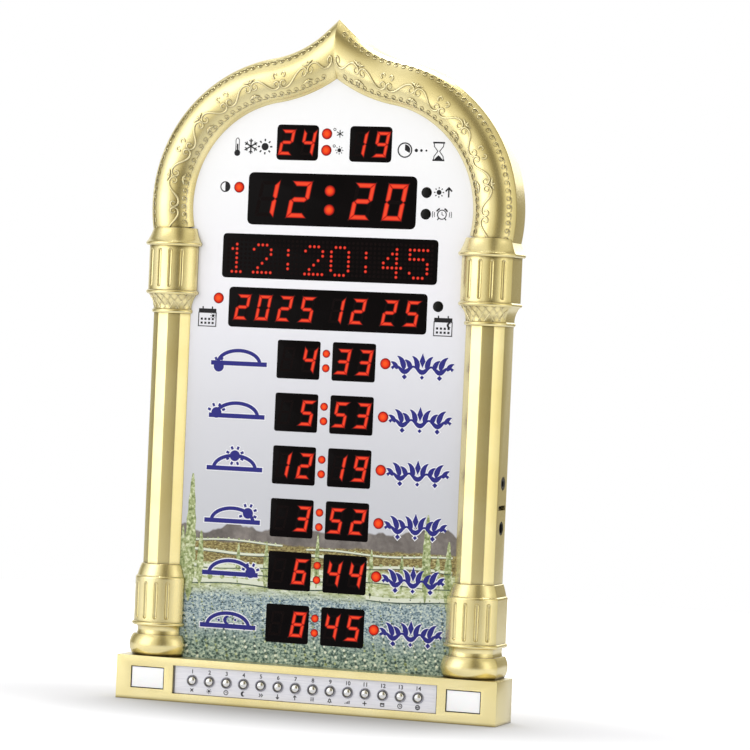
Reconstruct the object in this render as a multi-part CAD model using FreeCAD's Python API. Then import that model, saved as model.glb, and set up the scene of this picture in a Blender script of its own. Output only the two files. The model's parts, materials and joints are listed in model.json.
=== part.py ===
import FreeCAD, Part
import math
import os

# Prayer-time clock in the shape of a pointed arch on two columns.
# Millimetres, +Z up, X to the viewer's right, the dial faces -Y.
# The origin is the centre of the clock's footprint, on the surface it stands on.

V = FreeCAD.Vector
UP = V(0, 0, 1)
BACKWARD = V(0, 1, 0)

# ---------------------------------------------------------------- driving sizes

# The gold moulding
depth = 29.0                 # front of the base to the back of the clock
base_width = 222.0
base_height = 24.3
wall = 2.2                   # moulded wall
root = 0.5                   # how far a boss runs into its wall, or a bore past its screw
base_front_wall = 4.4        # thicker, because the button strip is let into it
base_edge_bevel = 0.9
column_inset = 19.2          # column axis to the end of the base
face_setback = 12.5          # front of the base to the front of the face panel
spring_z = 276.8             # height of the centre of the arch's large arcs
arch_radius = 83.7           # outer edge of the arch
band_width = 24.8            # width of the arch moulding
ogee_radius = 58.7           # hollow curve below the point, at the outer edge
ogee_start = 80.0            # degrees round the large arc where the hollow begins
apex_slope = 42.7            # degrees, at the point
arch_foot_drop = 14.8        # how far the band runs below the arc's centre
arch_foot_shift = 1.0        # band's middle from the column axis at its foot
crease_angle = 60.0          # degrees each side of the crest where rounding stops

# Column sections, as half widths seen from the front
shaft_half = 11.2
drum_half = 14.5
bulb_half = 16.2
neck_half = 12.9
bead_half = 15.5
flange_half = 16.4
collar_half = 11.6           # where the shaft meets the turned parts
bulb_rise = 1.7
bead_rise = 0.6
neck_hollow = 0.4
lattice_hollow = 0.5
shoulder_rounding = 0.8
foot_ledge = 0.7             # capital's top outside the arch band
ledge_slope = 0.1            # how much a level ledge rises across its width
shaft_root = 1.5             # how far the shaft runs into the plinth
small_bead_half = 12.1
facet_count = 4
flutes_per_drum = 4
flute_spacing = 22.5         # degrees round the drum
flute_turn = 6.5             # degrees that the grooves stand turned outwards
flute_sides = 4
flute_tip = 0.3              # part of the width left at the ends
flute_width = 2.0
flute_depth = 0.9
flute_margin = 1.8           # plain drum above and below a flute

# Curves are drawn in short straight steps, and small round parts have flat sides
small_sides = 8
speaker_sides = 16
socket_sides = 12
column_flats = 8
fixing_sides = 6
band_steps = 6
bulb_steps = 3
bead_steps = 2

# Column heights, from the base upwards and from the arch foot downwards
bulb_height = 11.7
neck_height = 4.9
bead_height = 2.3
drum_height = 24.8
cone_height = 7.5
flange_height = 2.5
lattice_height = 8.2

# Face panel and its openings
panel_thickness = 2.0
panel_overlap = 2.5          # how far the panel runs behind the gold edge
window_radius = 2.4
digit_window_width = 25.0    # one pair of small digits
digit_window_height = 21.0
digit_window_radius = 1.3
top_window_width = 24.3
top_window_height = 19.4
top_window_x = 21.4          # middle of each of the two top windows
time_window_width = 98.4
time_window_height = 28.8
time_window_radius = 3.4
matrix_window_width = 125.8
matrix_window_height = 24.4
date_window_width = 116.0
date_window_height = 22.0
row_count = 6
row_hours_x = -15.4
row_minutes_x = 17.0
row_colon_x = 0.8
row_lamp_x = 35.4

# Heights of the display rows, from the arch centre or the base
top_row_above_spring = 36.1
time_row_above_spring = 4.6
matrix_row_below_spring = 27.5
date_row_below_spring = 56.0
first_row_below_spring = 83.9
last_row_above_base = 22.4

# Bought-in display parts
module_depth = 8.0
small_module_width = 24.5
small_module_height = 19.0
time_module_width = 38.0
time_module_height = 27.7
time_hours_x = -28.5
time_minutes_x = 27.5
matrix_module_size = 20.32
matrix_module_count = 6
date_pair_xs = (-43.6, -18.2, 12.1, 43.1)
module_rim = 1.0             # stepped back edge of a module
module_play = 0.1            # between two dot blocks

# Round lamps, which stand on the board and end in the panel's holes
lamp_diameter = 5.6
lamp_dome = 0.6
lamp_taper = 0.9             # how much narrower the dome's tip is
lamp_recess = 0.1
colon_lamp_diameter = 4.0
colon_half_gap = 4.0
time_colon_diameter = 6.0
time_colon_half_gap = 5.25
time_colon_x = -1.2
degree_lamp_x = -4.4
upper_degree_lamp = 5.2      # above the middle of the top windows
lower_degree_lamp = 3.9      # below it
time_lamp_gap = 5.7          # beyond the end of the time window
time_lamp_half_gap = 5.9
date_lamp_gap = 6.3
date_lamp_rise = 4.5

# Push buttons in the base
button_count = 14
button_pitch = 10.16
button_diameter = 4.3
button_travel = 0.3
button_proud = 1.5           # tip of the button above the strip
bezel_diameter = 6.5
bezel_proud = 0.7
button_flange = 0.8
button_dome = 1.1
button_top_radius = 1.1      # of the flat at the dome's tip
button_stem_diameter = 3.0
button_stem_length = 1.8
running_gap = 0.3
strip_gap = 5.6              # between the strip's end and the end window
strip_height = 15.1
strip_thickness = 0.8
strip_recess = 1.8
key_row_z = 12.45
switch_size = 6.0
switch_depth = 3.5
switch_well_depth = 2.1

# Lamp windows at the ends of the base
end_window_inset = 18.7      # its middle from the end of the base
end_window_width = 19.4
end_window_height = 11.7
end_window_thickness = 1.5
end_window_recess = 0.5
end_window_lip = 1.5

# Boards, cover and fixings
board_thickness = 1.6
board_edge_margin = 3.0      # board outside the middle of its screws
board_floor_gap = 5.7        # between the base's top and the board's lower edge
board_shoulder = 12.0        # board's first step above the middle of the date row
board_top_step = 23.0        # second step above the arch's centre
board_top_margin = 3.3       # board above the top modules
board_top_half = 42.0
key_board_margin = 1.4       # between the key board and the base's wall
cover_thickness = 2.0
cover_clearance = 0.2
cover_floor_gap = 2.4        # bottom edge of the cover above the bottom of the base
boss_diameter = 5.5
screw_diameter = 2.6
screw_head_diameter = 5.2
screw_head_height = 1.2
screw_play = 0.05
screw_clearance = 0.2        # round a screw where it only passes
cover_screw_length = 8.0
board_screw_length = 6.5
key_screw_length = 4.2
key_boss_radius = 2.2
base_screw_inset = 7.0       # from the end of the base
crown_screw_angle = 60.0     # degrees round the arch
cover_screw_shift = 4.2      # outwards from the column axis
board_screw_shift = 5.5      # inwards from it
hanger_spacing = 120.0
hanger_above_spring = 2.0
hanger_head_radius = 4.0
hanger_slot_radius = 2.3
hanger_slot_length = 9.0
vent_count = 7
vent_length = 40.0
vent_width = 2.0
vent_pitch = 8.0

# Speaker
speaker_diameter = 36.0
speaker_depth = 9.4
speaker_flange = 2.0
speaker_flange_depth = 1.4
speaker_skin = 0.9
magnet_diameter = 16.2
magnet_depth = 3.6
cone_depth = 2.6
cone_hub_radius = 4.0
cone_skin = 0.7
cone_rim = 1.2
cone_rim_recess = 0.7
speaker_inset = 27.0         # from the board's left-hand edge
speaker_room = 0.8           # round it, in the board
grille_hole_diameter = 2.4
grille_pitch = 6.0
grille_hole_sides = 6

# Sockets in the right-hand side
socket_y = 6.8
audio_z = 130.5
card_z = 117.2
power_z = 106.0
audio_bore_radius = 1.8
audio_bore_length = 12.0
power_bore_radius = 2.8
power_bore_length = 9.0
power_pin_radius = 1.0
power_pin_recess = 1.5
socket_body_length = 13.9
socket_height = 9.0
audio_body_width = 9.0
power_body_width = 9.4
audio_collar_wall = 1.8
power_collar_wall = 0.6
collar_play = 0.1
card_slot_front = 5.6        # from the sockets' axis forwards
card_slot_back = 5.0
card_slot_height = 1.0
card_wall = 0.6
card_play = 0.2

# Parts on the boards
controller_inset = 34.3      # from the board's left-hand edge
controller_size = 16.0
controller_lead = 1.0
chip_height = 1.0
lead_height = 0.8
driver_inset = 32.3          # from the board's right-hand edge
driver_size = 10.0
driver_height = 2.0
capacitor_inset = 19.3       # from the board's right-hand edge
capacitor_diameter = 8.0
capacitor_height = 6.5
capacitor_spacing = 12.0
cell_inset = 31.3            # from the board's left-hand edge
cell_diameter = 20.0
cell_height = 3.2
cell_play = 0.2
holder_wall = 1.8
holder_floor = 1.0
sensor_inset = 13.3          # from the board's left-hand edge
sensor_diameter = 4.8
sensor_height = 4.6
sensor_flat = 1.2            # from its axis
receiver_x = 5.2
receiver_width = 5.2
receiver_height = 6.0
receiver_depth = 6.4
receiver_drop = 9.5          # below the middle of the time row
window_lamp_width = 3.6
window_lamp_height = 3.0
window_lamp_depth = 1.6

# Flat cable between the boards
cable_x = 45.0
cable_width = 14.0
cable_thickness = 0.8
plug_depth = 4.0
plug_margin = 1.0            # plug beyond the cable's edge
plug_height = 5.0
cable_rise = 9.7             # upper plug above the base's top

# ---------------------------------------------------------------- worked-out sizes

front_y = -depth / 2.0
back_y = depth / 2.0
panel_y = front_y + face_setback
panel_back_y = panel_y + panel_thickness
board_y = panel_back_y + module_depth
board_back_y = board_y + board_thickness
cover_y = back_y - cover_thickness
half_width = base_width / 2.0
end_window_x = half_width - end_window_inset
strip_width = 2.0 * (end_window_x - end_window_width / 2.0 - strip_gap)
column_x = half_width - column_inset
half_sine = math.sin(math.radians(crease_angle))
half_cosine = math.cos(math.radians(crease_angle))
shaft_radius = shaft_half / half_sine
column_axis_y = panel_y + shaft_radius * half_cosine
side_x = column_x + shaft_half
side_wall_x = side_x - wall
shaft_inner_x = column_x - shaft_half
panel_side_x = shaft_inner_x + panel_overlap
band_half = band_width / 2.0
band_middle = arch_radius - band_half
foot_z = spring_z - arch_foot_drop
arc_x = column_x + arch_foot_shift - math.sqrt(band_middle ** 2 - arch_foot_drop ** 2)

top_row_z = spring_z + top_row_above_spring
time_row_z = spring_z + time_row_above_spring
matrix_row_z = spring_z - matrix_row_below_spring
date_row_z = spring_z - date_row_below_spring
first_row_z = spring_z - first_row_below_spring
last_row_z = base_height + last_row_above_base
row_pitch = (first_row_z - last_row_z) / (row_count - 1)
row_zs = [first_row_z - row_pitch * i for i in range(row_count)]

plinth_top_z = base_height + bulb_height + neck_height + bead_height + drum_height + cone_height
capital_top_z = foot_z + 1.5
capital_height = (2 * bead_height + lattice_height + drum_height + flange_height + cone_height)
capital_bottom_z = capital_top_z - capital_height

strip_y = front_y + strip_recess
strip_back_y = strip_y + strip_thickness
bezel_y = strip_y - bezel_proud
base_inside_y = front_y + base_front_wall
bezel_back_y = base_inside_y - 1.0
button_tip_y = strip_y - button_proud
button_flange_y = bezel_back_y + running_gap
button_flange_back_y = button_flange_y + button_flange
switch_y = button_flange_back_y + button_travel + running_gap
key_board_y = switch_y + switch_depth
key_board_back_y = key_board_y + board_thickness
button_xs = [button_pitch * (i - (button_count - 1) / 2.0) for i in range(button_count)]

speaker_z = (row_zs[0] + row_zs[1]) / 2.0
hanger_z = spring_z + hanger_above_spring

column_screw_x = column_x + cover_screw_shift
board_screw_x = column_x - board_screw_shift
cover_screw_zs = (capital_bottom_z - 22.0, plinth_top_z + 13.0)
board_screw_zs = (capital_bottom_z - 9.0, audio_z + 20.0, power_z - 17.0)
base_screw_x = half_width - base_screw_inset
key_screw_x = (strip_width + strip_gap) / 2.0
board_half = board_screw_x + board_edge_margin
capacitor_x = board_half - capacitor_inset
driver_x = board_half - driver_inset
cell_x = cell_inset - board_half
controller_x = controller_inset - board_half
sensor_x = sensor_inset - board_half
speaker_x = speaker_inset - board_half


# ---------------------------------------------------------------- small helpers

def box(x0, x1, y0, y1, z0, z1):
    return Part.makeBox(x1 - x0, y1 - y0, z1 - z0, V(x0, y0, z0))


def corners(x, y, z, radius, sides):
    """Corners of a regular polygon across the Y axis, with a flat side up."""
    turn = math.pi / sides
    points = []
    for i in range(sides):
        angle = turn * (2 * i + 1)
        points.append(V(x + radius * math.sin(angle), y, z + radius * math.cos(angle)))
    return points


def flat_face(points):
    return Part.Face(Part.makePolygon(points + points[:1]))


def stacked(sections):
    """A solid through polygons with equal numbers of corners, with flat faces between them."""
    faces = [flat_face(sections[0]), flat_face(sections[-1])]
    for first, second in zip(sections, sections[1:]):
        for i in range(len(first)):
            faces.append(flat_face([first[i - 1], first[i], second[i], second[i - 1]]))
    shell = Part.makeShell(faces)
    shell.sewShape()
    solid = Part.makeSolid(shell)
    if solid.Volume < 0:
        solid.reverse()
    return solid


def rod(x, z, radius, y0, y1, sides=small_sides):
    """A bar along Y, many-sided, which is round enough for a small part."""
    return flat_face(corners(x, y0, z, radius, sides)).extrude(V(0, y1 - y0, 0))


def round_rod(x, z, radius, y0, y1):
    return Part.makeCylinder(radius, y1 - y0, V(x, y0, z), BACKWARD)


def tapered_rod(x, z, radius0, radius1, y0, y1, sides=small_sides):
    return stacked([corners(x, y0, z, radius0, sides), corners(x, y1, z, radius1, sides)])


def tube(x, z, outer, inner, y0, y1, sides=small_sides):
    return rod(x, z, outer, y0, y1, sides).cut(rod(x, z, inner, y0, y1, sides))


def along_x(x, y, z, radius, length):
    """A bar along X, which starts at x, with enough sides to pass for round."""
    turn = 2.0 * math.pi / socket_sides
    points = []
    for i in range(socket_sides):
        points.append(V(x, y + radius * math.sin(turn * i), z + radius * math.cos(turn * i)))
    return flat_face(points).extrude(V(length, 0, 0))


def square_block(x, z, half, y0, y1):
    return box(x - half, x + half, y0, y1, z - half, z + half)


def line(a, b):
    return Part.LineSegment(a, b).toShape()


def polyline(points):
    return [line(a, b) for a, b in zip(points, points[1:])]


def arc(a, middle, b):
    return Part.Arc(a, middle, b).toShape()


def swell(a, b, rise, steps):
    """Points after a, up to b, along an arc that rises outwards from the upward chord."""
    chord = b - a
    half = chord.Length / 2.0
    radius = (half ** 2 + rise ** 2) / (2.0 * rise)
    turn = 2.0 * math.asin(half / abs(radius))
    along = V(chord).normalize()
    out = BACKWARD.cross(along)
    centre = a + along * half + out * (rise - radius)
    points = []
    for i in range(1, steps):
        angle = turn * (i / steps - 0.5)
        across = out * (radius * math.cos(angle))
        points.append(centre + across + along * (abs(radius) * math.sin(angle)))
    return points + [b]


def closed_face(edges):
    return Part.Face(Part.Wire(Part.__sortEdges__(edges)))


def prism(face, y0, y1):
    """Pushes a face that lies in the plane y = 0 from y0 to y1."""
    moved = face.copy()
    moved.translate(V(0, y0, 0))
    return moved.extrude(V(0, y1 - y0, 0))


def mirrored(shape):
    return shape.mirror(V(0, 0, 0), V(1, 0, 0))


def both_sides(shape):
    return [shape, mirrored(shape)]


def joined(shapes):
    first = shapes[0]
    if len(shapes) > 1:
        first = first.fuse(shapes[1:])
    return first.removeSplitter()


def group(solids):
    return Part.makeCompound(solids)


def rounded_plate(x, z, width, height, radius, y0, y1):
    """A plate with its corners taken off in two steps, seen from the front."""
    w = width / 2.0
    h = height / 2.0
    r = radius
    k = r * (1.0 - math.sqrt(0.5))
    edges = []
    for sx, sz in ((1, 1), (-1, 1), (-1, -1), (1, -1)):
        corner_a = V(x + sx * w, 0, z + sz * (h - r))
        corner_m = V(x + sx * (w - k), 0, z + sz * (h - k))
        corner_b = V(x + sx * (w - r), 0, z + sz * h)
        edges += [line(corner_a, corner_m), line(corner_m, corner_b)]
    edges.append(line(V(x - w + r, 0, z + h), V(x + w - r, 0, z + h)))
    edges.append(line(V(x - w + r, 0, z - h), V(x + w - r, 0, z - h)))
    edges.append(line(V(x - w, 0, z - h + r), V(x - w, 0, z + h - r)))
    edges.append(line(V(x + w, 0, z - h + r), V(x + w, 0, z + h - r)))
    return prism(closed_face(edges), y0, y1)


def save(shape, name):
    shape.exportStep("parts/" + name + ".step")


# ---------------------------------------------------------------- the pointed outline

class Arch:
    """Half of the pointed arch, at an offset inwards from its outer edge."""

    def __init__(self, offset):
        start = math.radians(ogee_start)
        slope = math.radians(apex_slope)
        self.large = arch_radius - offset
        self.small = ogee_radius + offset
        self.centre_x = arc_x
        self.centre_z = spring_z
        reach = arch_radius + ogee_radius
        self.ogee_x = self.centre_x + reach * math.cos(start)
        self.ogee_z = self.centre_z + reach * math.sin(start)
        self.end_x = self.ogee_x - self.small * math.sin(slope)
        self.end_z = self.ogee_z - self.small * math.cos(slope)
        self.slope = slope

    def large_point(self, angle):
        return V(self.centre_x + self.large * math.cos(angle), 0,
                 self.centre_z + self.large * math.sin(angle))

    def ogee_point(self, angle):
        return V(self.ogee_x + self.small * math.cos(angle), 0,
                 self.ogee_z + self.small * math.sin(angle))

    def edges(self, side_x, bottom_z):
        """Edges of the right half: bottom, side, large arc, hollow arc and point."""
        start = math.radians(ogee_start)
        reach = (side_x - self.centre_x) / self.large
        low = math.acos(min(1.0, reach))
        result = [line(V(0, 0, bottom_z), V(side_x, 0, bottom_z))]
        shoulder = self.large_point(low)
        result.append(line(V(side_x, 0, bottom_z), shoulder))
        turn = self.large_point(start)
        result.append(arc(shoulder, self.large_point((low + start) / 2.0), turn))
        first = start + math.pi
        last = 1.5 * math.pi - self.slope
        if self.end_x <= 0.0:
            last = math.pi + math.acos(self.ogee_x / self.small)
        end = self.ogee_point(last)
        result.append(arc(turn, self.ogee_point((first + last) / 2.0), end))
        if self.end_x > 0.0:
            rise = self.end_x * math.tan(self.slope)
            result.append(line(end, V(0, 0, self.end_z + rise)))
        return result


def arch_plate(offset, side_x, bottom_z, y0, y1):
    """A plate in the arch's outline, which stands a given distance inside its edge."""
    half = Arch(offset).edges(side_x, bottom_z)
    edges = list(half)
    for edge in half:
        edges.append(edge.mirror(V(0, 0, 0), V(1, 0, 0)))
    return prism(closed_face(edges), y0, y1)


def apex_height():
    outer = Arch(0.0)
    return outer.end_z + max(0.0, outer.end_x) * math.tan(outer.slope)


# ---------------------------------------------------------------- the gold moulding

def band_section(place, hollow):
    """Section of the arch band. place(s, y) puts a point s outwards from its middle."""
    radius = band_half / half_sine
    centre_y = panel_y + radius * half_cosine
    first = math.degrees(math.asin(band_half / radius))
    crest = []
    for i in range(band_steps + 1):
        angle = math.radians(first * (2.0 * i / band_steps - 1.0))
        crest.append(place(radius * math.sin(angle), centre_y - radius * math.cos(angle)))
    if not hollow:
        return closed_face(polyline(crest + crest[:1]))
    side = band_half - wall
    lining = []
    for i in (-1, 0, 1):
        angle = math.radians(first * 0.5 * i)
        inner = (radius - wall) / math.cos(math.radians(first * 0.25))
        lining.append(place(inner * math.sin(angle), centre_y - inner * math.cos(angle)))
    inside = [place(-side, panel_y)] + lining + [place(side, panel_y)]
    skirt = [place(side, back_y), place(band_half, back_y), crest[-1]]
    return closed_face(polyline(crest[:1] + inside + skirt) + polyline(crest))


def band(hollow):
    """The arch band: two sweeps round parallel axes and a straight run to the mitre."""
    outer = Arch(0.0)
    start = math.radians(ogee_start)
    foot = -math.asin(arch_foot_drop / band_middle)
    hollow_middle = ogee_radius + band_half
    large_axis = V(outer.centre_x, 0, outer.centre_z)
    small_axis = V(outer.ogee_x, 0, outer.ogee_z)

    def at_foot(s, y):
        reach = band_middle + s
        return large_axis + V(reach * math.cos(foot), y, reach * math.sin(foot))

    def at_turn(s, y):
        reach = hollow_middle - s
        return small_axis + V(-reach * math.cos(start), y, -reach * math.sin(start))

    def at_end(s, y):
        reach = hollow_middle - s
        return small_axis + V(-reach * math.sin(outer.slope), y, -reach * math.cos(outer.slope))

    lower = band_section(at_foot, hollow)
    lower = lower.revolve(large_axis, V(0, -1, 0), ogee_start - math.degrees(foot))
    turn = apex_slope - (90.0 - ogee_start)
    middle = band_section(at_turn, hollow).revolve(small_axis, BACKWARD, turn)
    run = 3.0 * band_width
    rise = V(-run * math.cos(outer.slope), 0, run * math.sin(outer.slope))
    upper = band_section(at_end, hollow).extrude(rise)
    keep = box(0, 2 * base_width, 2 * front_y, 2 * back_y, 0, 3 * spring_z)
    half = joined([lower, middle, upper]).common(keep)
    return joined(both_sides(half))


def column_section(half, z):
    """A level section of a turned part: a rounded front in short flats, and straight sides."""
    radius = half / half_sine
    points = []
    for i in range(column_flats + 1):
        angle = math.radians(crease_angle * (2.0 * i / column_flats - 1.0))
        points.append(V(column_x + radius * math.sin(angle),
                        column_axis_y - radius * math.cos(angle), z))
    points.append(V(column_x + half, back_y, z))
    points.append(V(column_x - half, back_y, z))
    return points


def turned_part(profile):
    """A turned part of a column, from steps of half width, height, rise and count.

    A ledge is given a little slope, because two sections can't lie at one height.
    """
    half, height, rise, count = profile[0]
    points = [V(half, 0, height)]
    for half, height, rise, count in profile[1:]:
        there = V(half, 0, max(height, points[-1].z + ledge_slope))
        if rise:
            points += swell(points[-1], there, rise, count)
        else:
            points.append(there)
    return stacked([column_section(point.x, point.z) for point in points])


def plinth():
    neck_z = base_height + bulb_height
    bead_z = neck_z + neck_height
    drum_z = bead_z + bead_height
    cone_z = drum_z + drum_height
    bulb = bulb_half - bulb_rise
    bead = bead_half - bead_rise
    return turned_part([
        (bulb, base_height - root, 0, 1),
        (bulb, base_height, 0, 1),
        (bulb, neck_z, bulb_rise, bulb_steps),
        (neck_half, neck_z, 0, 1),
        (neck_half, bead_z, -neck_hollow, bead_steps),
        (bead, bead_z, 0, 1),
        (bead, drum_z, bead_rise, bead_steps),
        (drum_half, drum_z, 0, 1),
        (drum_half, cone_z - shoulder_rounding, 0, 1),
        (drum_half - shoulder_rounding, cone_z + shoulder_rounding, 0, 1),
        (collar_half, plinth_top_z, 0, 1),
    ])


def capital():
    lattice_z = capital_bottom_z + bead_height
    collar_z = lattice_z + lattice_height
    drum_z = collar_z + bead_height
    flange_z = drum_z + drum_height
    cone_z = flange_z + flange_height
    bead = bead_half - bead_rise
    flange = flange_half - bead_rise
    return turned_part([
        (collar_half, capital_bottom_z, 0, 1),
        (collar_half, lattice_z, small_bead_half - collar_half, bead_steps),
        (bead - bead_rise, collar_z, -lattice_hollow, bead_steps),
        (bead, collar_z, 0, 1),
        (bead, drum_z, bead_rise, bead_steps),
        (drum_half, drum_z, 0, 1),
        (drum_half, flange_z, 0, 1),
        (flange, flange_z, 0, 1),
        (flange, cone_z, bead_rise, bead_steps),
        (band_half + foot_ledge, capital_top_z, 0, 1),
    ])


def flutes(low, high):
    """Upright grooves with tapered ends, side by side on the rounded front of a drum."""
    drum_radius = drum_half / half_sine
    half = flute_width / 2.0
    reach = drum_radius + half - flute_depth
    heights = [low + flute_margin, low + flute_margin + half,
               high - flute_margin - half, high - flute_margin]
    cutters = []
    for i in range(flutes_per_drum):
        angle = math.radians(flute_turn + flute_spacing * (i - (flutes_per_drum - 1) / 2.0))
        x = column_x + reach * math.sin(angle)
        y = column_axis_y - reach * math.cos(angle)
        sections = []
        for height, radius in zip(heights, (flute_tip * half, half, half, flute_tip * half)):
            section = []
            for k in range(flute_sides):
                turn = 2.0 * math.pi * k / flute_sides - angle
                section.append(V(x + radius * math.sin(turn), y + radius * math.cos(turn), height))
            sections.append(section)
        cutters.append(stacked(sections))
    return cutters


def column_cutters():
    """The grooves of both drums."""
    plinth_drum_z = plinth_top_z - cone_height - drum_height
    capital_drum_z = capital_top_z - cone_height - flange_height - drum_height
    cutters = flutes(plinth_drum_z, plinth_drum_z + drum_height)
    return cutters + flutes(capital_drum_z, capital_drum_z + drum_height)


def shaft_section(radius, side, end_y, z):
    """Corners of the faceted shaft at a height: equal facets in front, flat sides to end_y."""
    points = []
    for i in range(facet_count + 1):
        angle = math.radians(crease_angle * (2.0 * i / facet_count - 1.0))
        points.append(V(column_x + radius * math.sin(angle),
                        column_axis_y - radius * math.cos(angle), z))
    return points + [V(column_x + side, end_y, z), V(column_x - side, end_y, z)]


def shaft_solid():
    low = plinth_top_z - shaft_root
    face = flat_face(shaft_section(shaft_radius, shaft_half, back_y, low))
    return face.extrude(UP * (capital_bottom_z + root - low))


def column_shell():
    """A column with its core and the space behind the face panel taken out."""
    body = joined([plinth(), capital(), shaft_solid()]).cut(column_cutters())
    floor_z = base_height + root
    inset = wall / math.cos(math.radians(crease_angle / facet_count))
    core_face = flat_face(shaft_section(shaft_radius - inset, shaft_half - wall, column_axis_y,
                                        floor_z))
    core = core_face.extrude(UP * (foot_z - wall - floor_z))
    behind = box(0, side_wall_x, panel_y, 2 * back_y, base_height - root, capital_top_z + 1)
    return body.cut([core, behind])


def base_shell():
    outer = box(-half_width, half_width, front_y, back_y, 0, base_height)
    front_edges = []
    for edge in outer.Edges:
        middle = edge.CenterOfMass
        if abs(middle.z - base_height / 2.0) < 0.01 and middle.y < 0:
            front_edges.append(edge)
    outer = outer.makeChamfer(base_edge_bevel, front_edges)
    inside = box(-half_width + wall, half_width - wall, base_inside_y, 2 * back_y,
                 wall, base_height - wall)
    opening = box(-side_wall_x, side_wall_x, panel_y, 2 * back_y, base_height / 2.0,
                  base_height + 1)
    shell = outer.cut(inside).cut(opening)
    rebate = box(-strip_width / 2.0, strip_width / 2.0, 2 * front_y, strip_back_y,
                 key_row_z - strip_height / 2.0, key_row_z + strip_height / 2.0)
    shell = shell.cut(rebate)
    holes = [rod(x, key_row_z, bezel_diameter / 2.0, strip_back_y - 1, base_inside_y + 1)
             for x in button_xs]
    window_back_y = front_y + end_window_recess + end_window_thickness
    for side in (-1, 1):
        x = side * end_window_x
        w = end_window_width / 2.0
        h = end_window_height / 2.0
        holes.append(box(x - w, x + w, 2 * front_y, window_back_y, key_row_z - h, key_row_z + h))
        w -= end_window_lip
        h -= end_window_lip
        holes.append(box(x - w, x + w, 2 * front_y, base_inside_y + 1, key_row_z - h, key_row_z + h))
    return shell.cut(holes)


def crown_point():
    angle = math.radians(crown_screw_angle)
    return arc_x + band_middle * math.cos(angle), spring_z + band_middle * math.sin(angle)


def cover_screw_places():
    """Right-hand screws of the rear cover: two in the column, one in the arch, one in the base."""
    places = [(column_screw_x, z) for z in cover_screw_zs]
    return places + [crown_point(), (base_screw_x, key_row_z)]


def board_screw_places():
    return [(board_screw_x, z) for z in board_screw_zs]


def frame_bosses():
    """Right-hand screw bosses, trimmed to the walls that they stand in."""
    shaft = shaft_solid()
    front = column_axis_y - shaft_radius
    places = cover_screw_places()
    column_places = places[:-2]
    crown_x, crown_z = places[-2]
    radius = boss_diameter / 2.0
    bosses = []
    for x, z in board_screw_places():
        bosses.append(rod(x, z, radius, front, board_y, fixing_sides).common(shaft))
    for x, z in column_places:
        bosses.append(rod(x, z, radius, front, cover_y, fixing_sides).common(shaft))
    crest_y = panel_y - band_half / half_sine * (1.0 - half_cosine)
    bosses.append(rod(crown_x, crown_z, radius, crest_y, panel_y, fixing_sides).common(band(False)))
    bosses.append(rod(crown_x, crown_z, radius, panel_y, cover_y, fixing_sides))
    rooted_y = base_inside_y - root
    bosses.append(rod(base_screw_x, key_row_z, radius, rooted_y, cover_y, fixing_sides))
    bosses.append(rod(key_screw_x, key_row_z, key_boss_radius, rooted_y, key_board_y, fixing_sides))
    return bosses


def screw_bores():
    """Blind holes that the right-hand screws cut into their bosses."""
    radius = screw_diameter / 2.0 + screw_play
    bores = []
    for x, z in board_screw_places():
        bores.append(rod(x, z, radius, board_back_y - board_screw_length - root, board_y + 1,
                         fixing_sides))
    for x, z in cover_screw_places():
        head_y = back_y - screw_head_height
        bores.append(rod(x, z, radius, head_y - cover_screw_length - root, cover_y + 1,
                         fixing_sides))
    depth_y = key_board_back_y - key_screw_length - root
    bores.append(rod(key_screw_x, key_row_z, radius, depth_y, key_board_y + 1, fixing_sides))
    return bores


def side_openings():
    """Holes in the right-hand wall for the three sockets."""
    start = side_wall_x - 1
    length = wall + 2
    audio = audio_bore_radius + audio_collar_wall + collar_play
    power = power_bore_radius + power_collar_wall + collar_play
    half = card_slot_height / 2.0 + card_wall
    return [along_x(start, socket_y, audio_z, audio, length),
            along_x(start, socket_y, power_z, power, length),
            box(start, start + length, socket_y - card_slot_front - card_wall - card_play,
                socket_y + card_slot_back + card_wall + card_play, card_z - half, card_z + half)]


def make_front_frame():
    pieces = [base_shell(), band(True)]
    for piece in [column_shell()] + frame_bosses():
        pieces += both_sides(piece)
    cutters = side_openings()
    for bore in screw_bores():
        cutters += both_sides(bore)
    return joined(pieces).cut(cutters)


# ---------------------------------------------------------------- the face

def lamp_places():
    """Round status lamps: two degree signs, half-day, season, alarm, calendars and rows."""
    side = time_window_width / 2.0 + time_lamp_gap
    upper = time_row_z + time_lamp_half_gap
    calendar = date_window_width / 2.0 + date_lamp_gap
    calendar_z = date_row_z + date_lamp_rise
    places = [(degree_lamp_x, top_row_z + upper_degree_lamp),
              (degree_lamp_x, top_row_z - lower_degree_lamp),
              (-side, upper),
              (side, upper),
              (side, time_row_z - time_lamp_half_gap),
              (-calendar, calendar_z),
              (calendar, calendar_z)]
    return places + [(row_lamp_x, z) for z in row_zs]


def colon_places():
    places = []
    for z in row_zs:
        places += [(row_colon_x, z + colon_half_gap), (row_colon_x, z - colon_half_gap)]
    return places


def pair_places():
    """Middles of the row modules, hours and minutes."""
    return [(row_hours_x, z) for z in row_zs], [(row_minutes_x, z) for z in row_zs]


def window_plates():
    """The clear windows of the face, one plate each."""
    places = [(-top_window_x, top_row_z, top_window_width, top_window_height, window_radius),
              (top_window_x, top_row_z, top_window_width, top_window_height, window_radius),
              (0, time_row_z, time_window_width, time_window_height, time_window_radius),
              (0, matrix_row_z, matrix_window_width, matrix_window_height, window_radius),
              (0, date_row_z, date_window_width, date_window_height, window_radius)]
    hours, minutes = pair_places()
    for x, z in hours + minutes:
        places.append((x, z, digit_window_width, digit_window_height, digit_window_radius))
    return [rounded_plate(x, z, width, height, radius, panel_y, panel_back_y)
            for x, z, width, height, radius in places]


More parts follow.
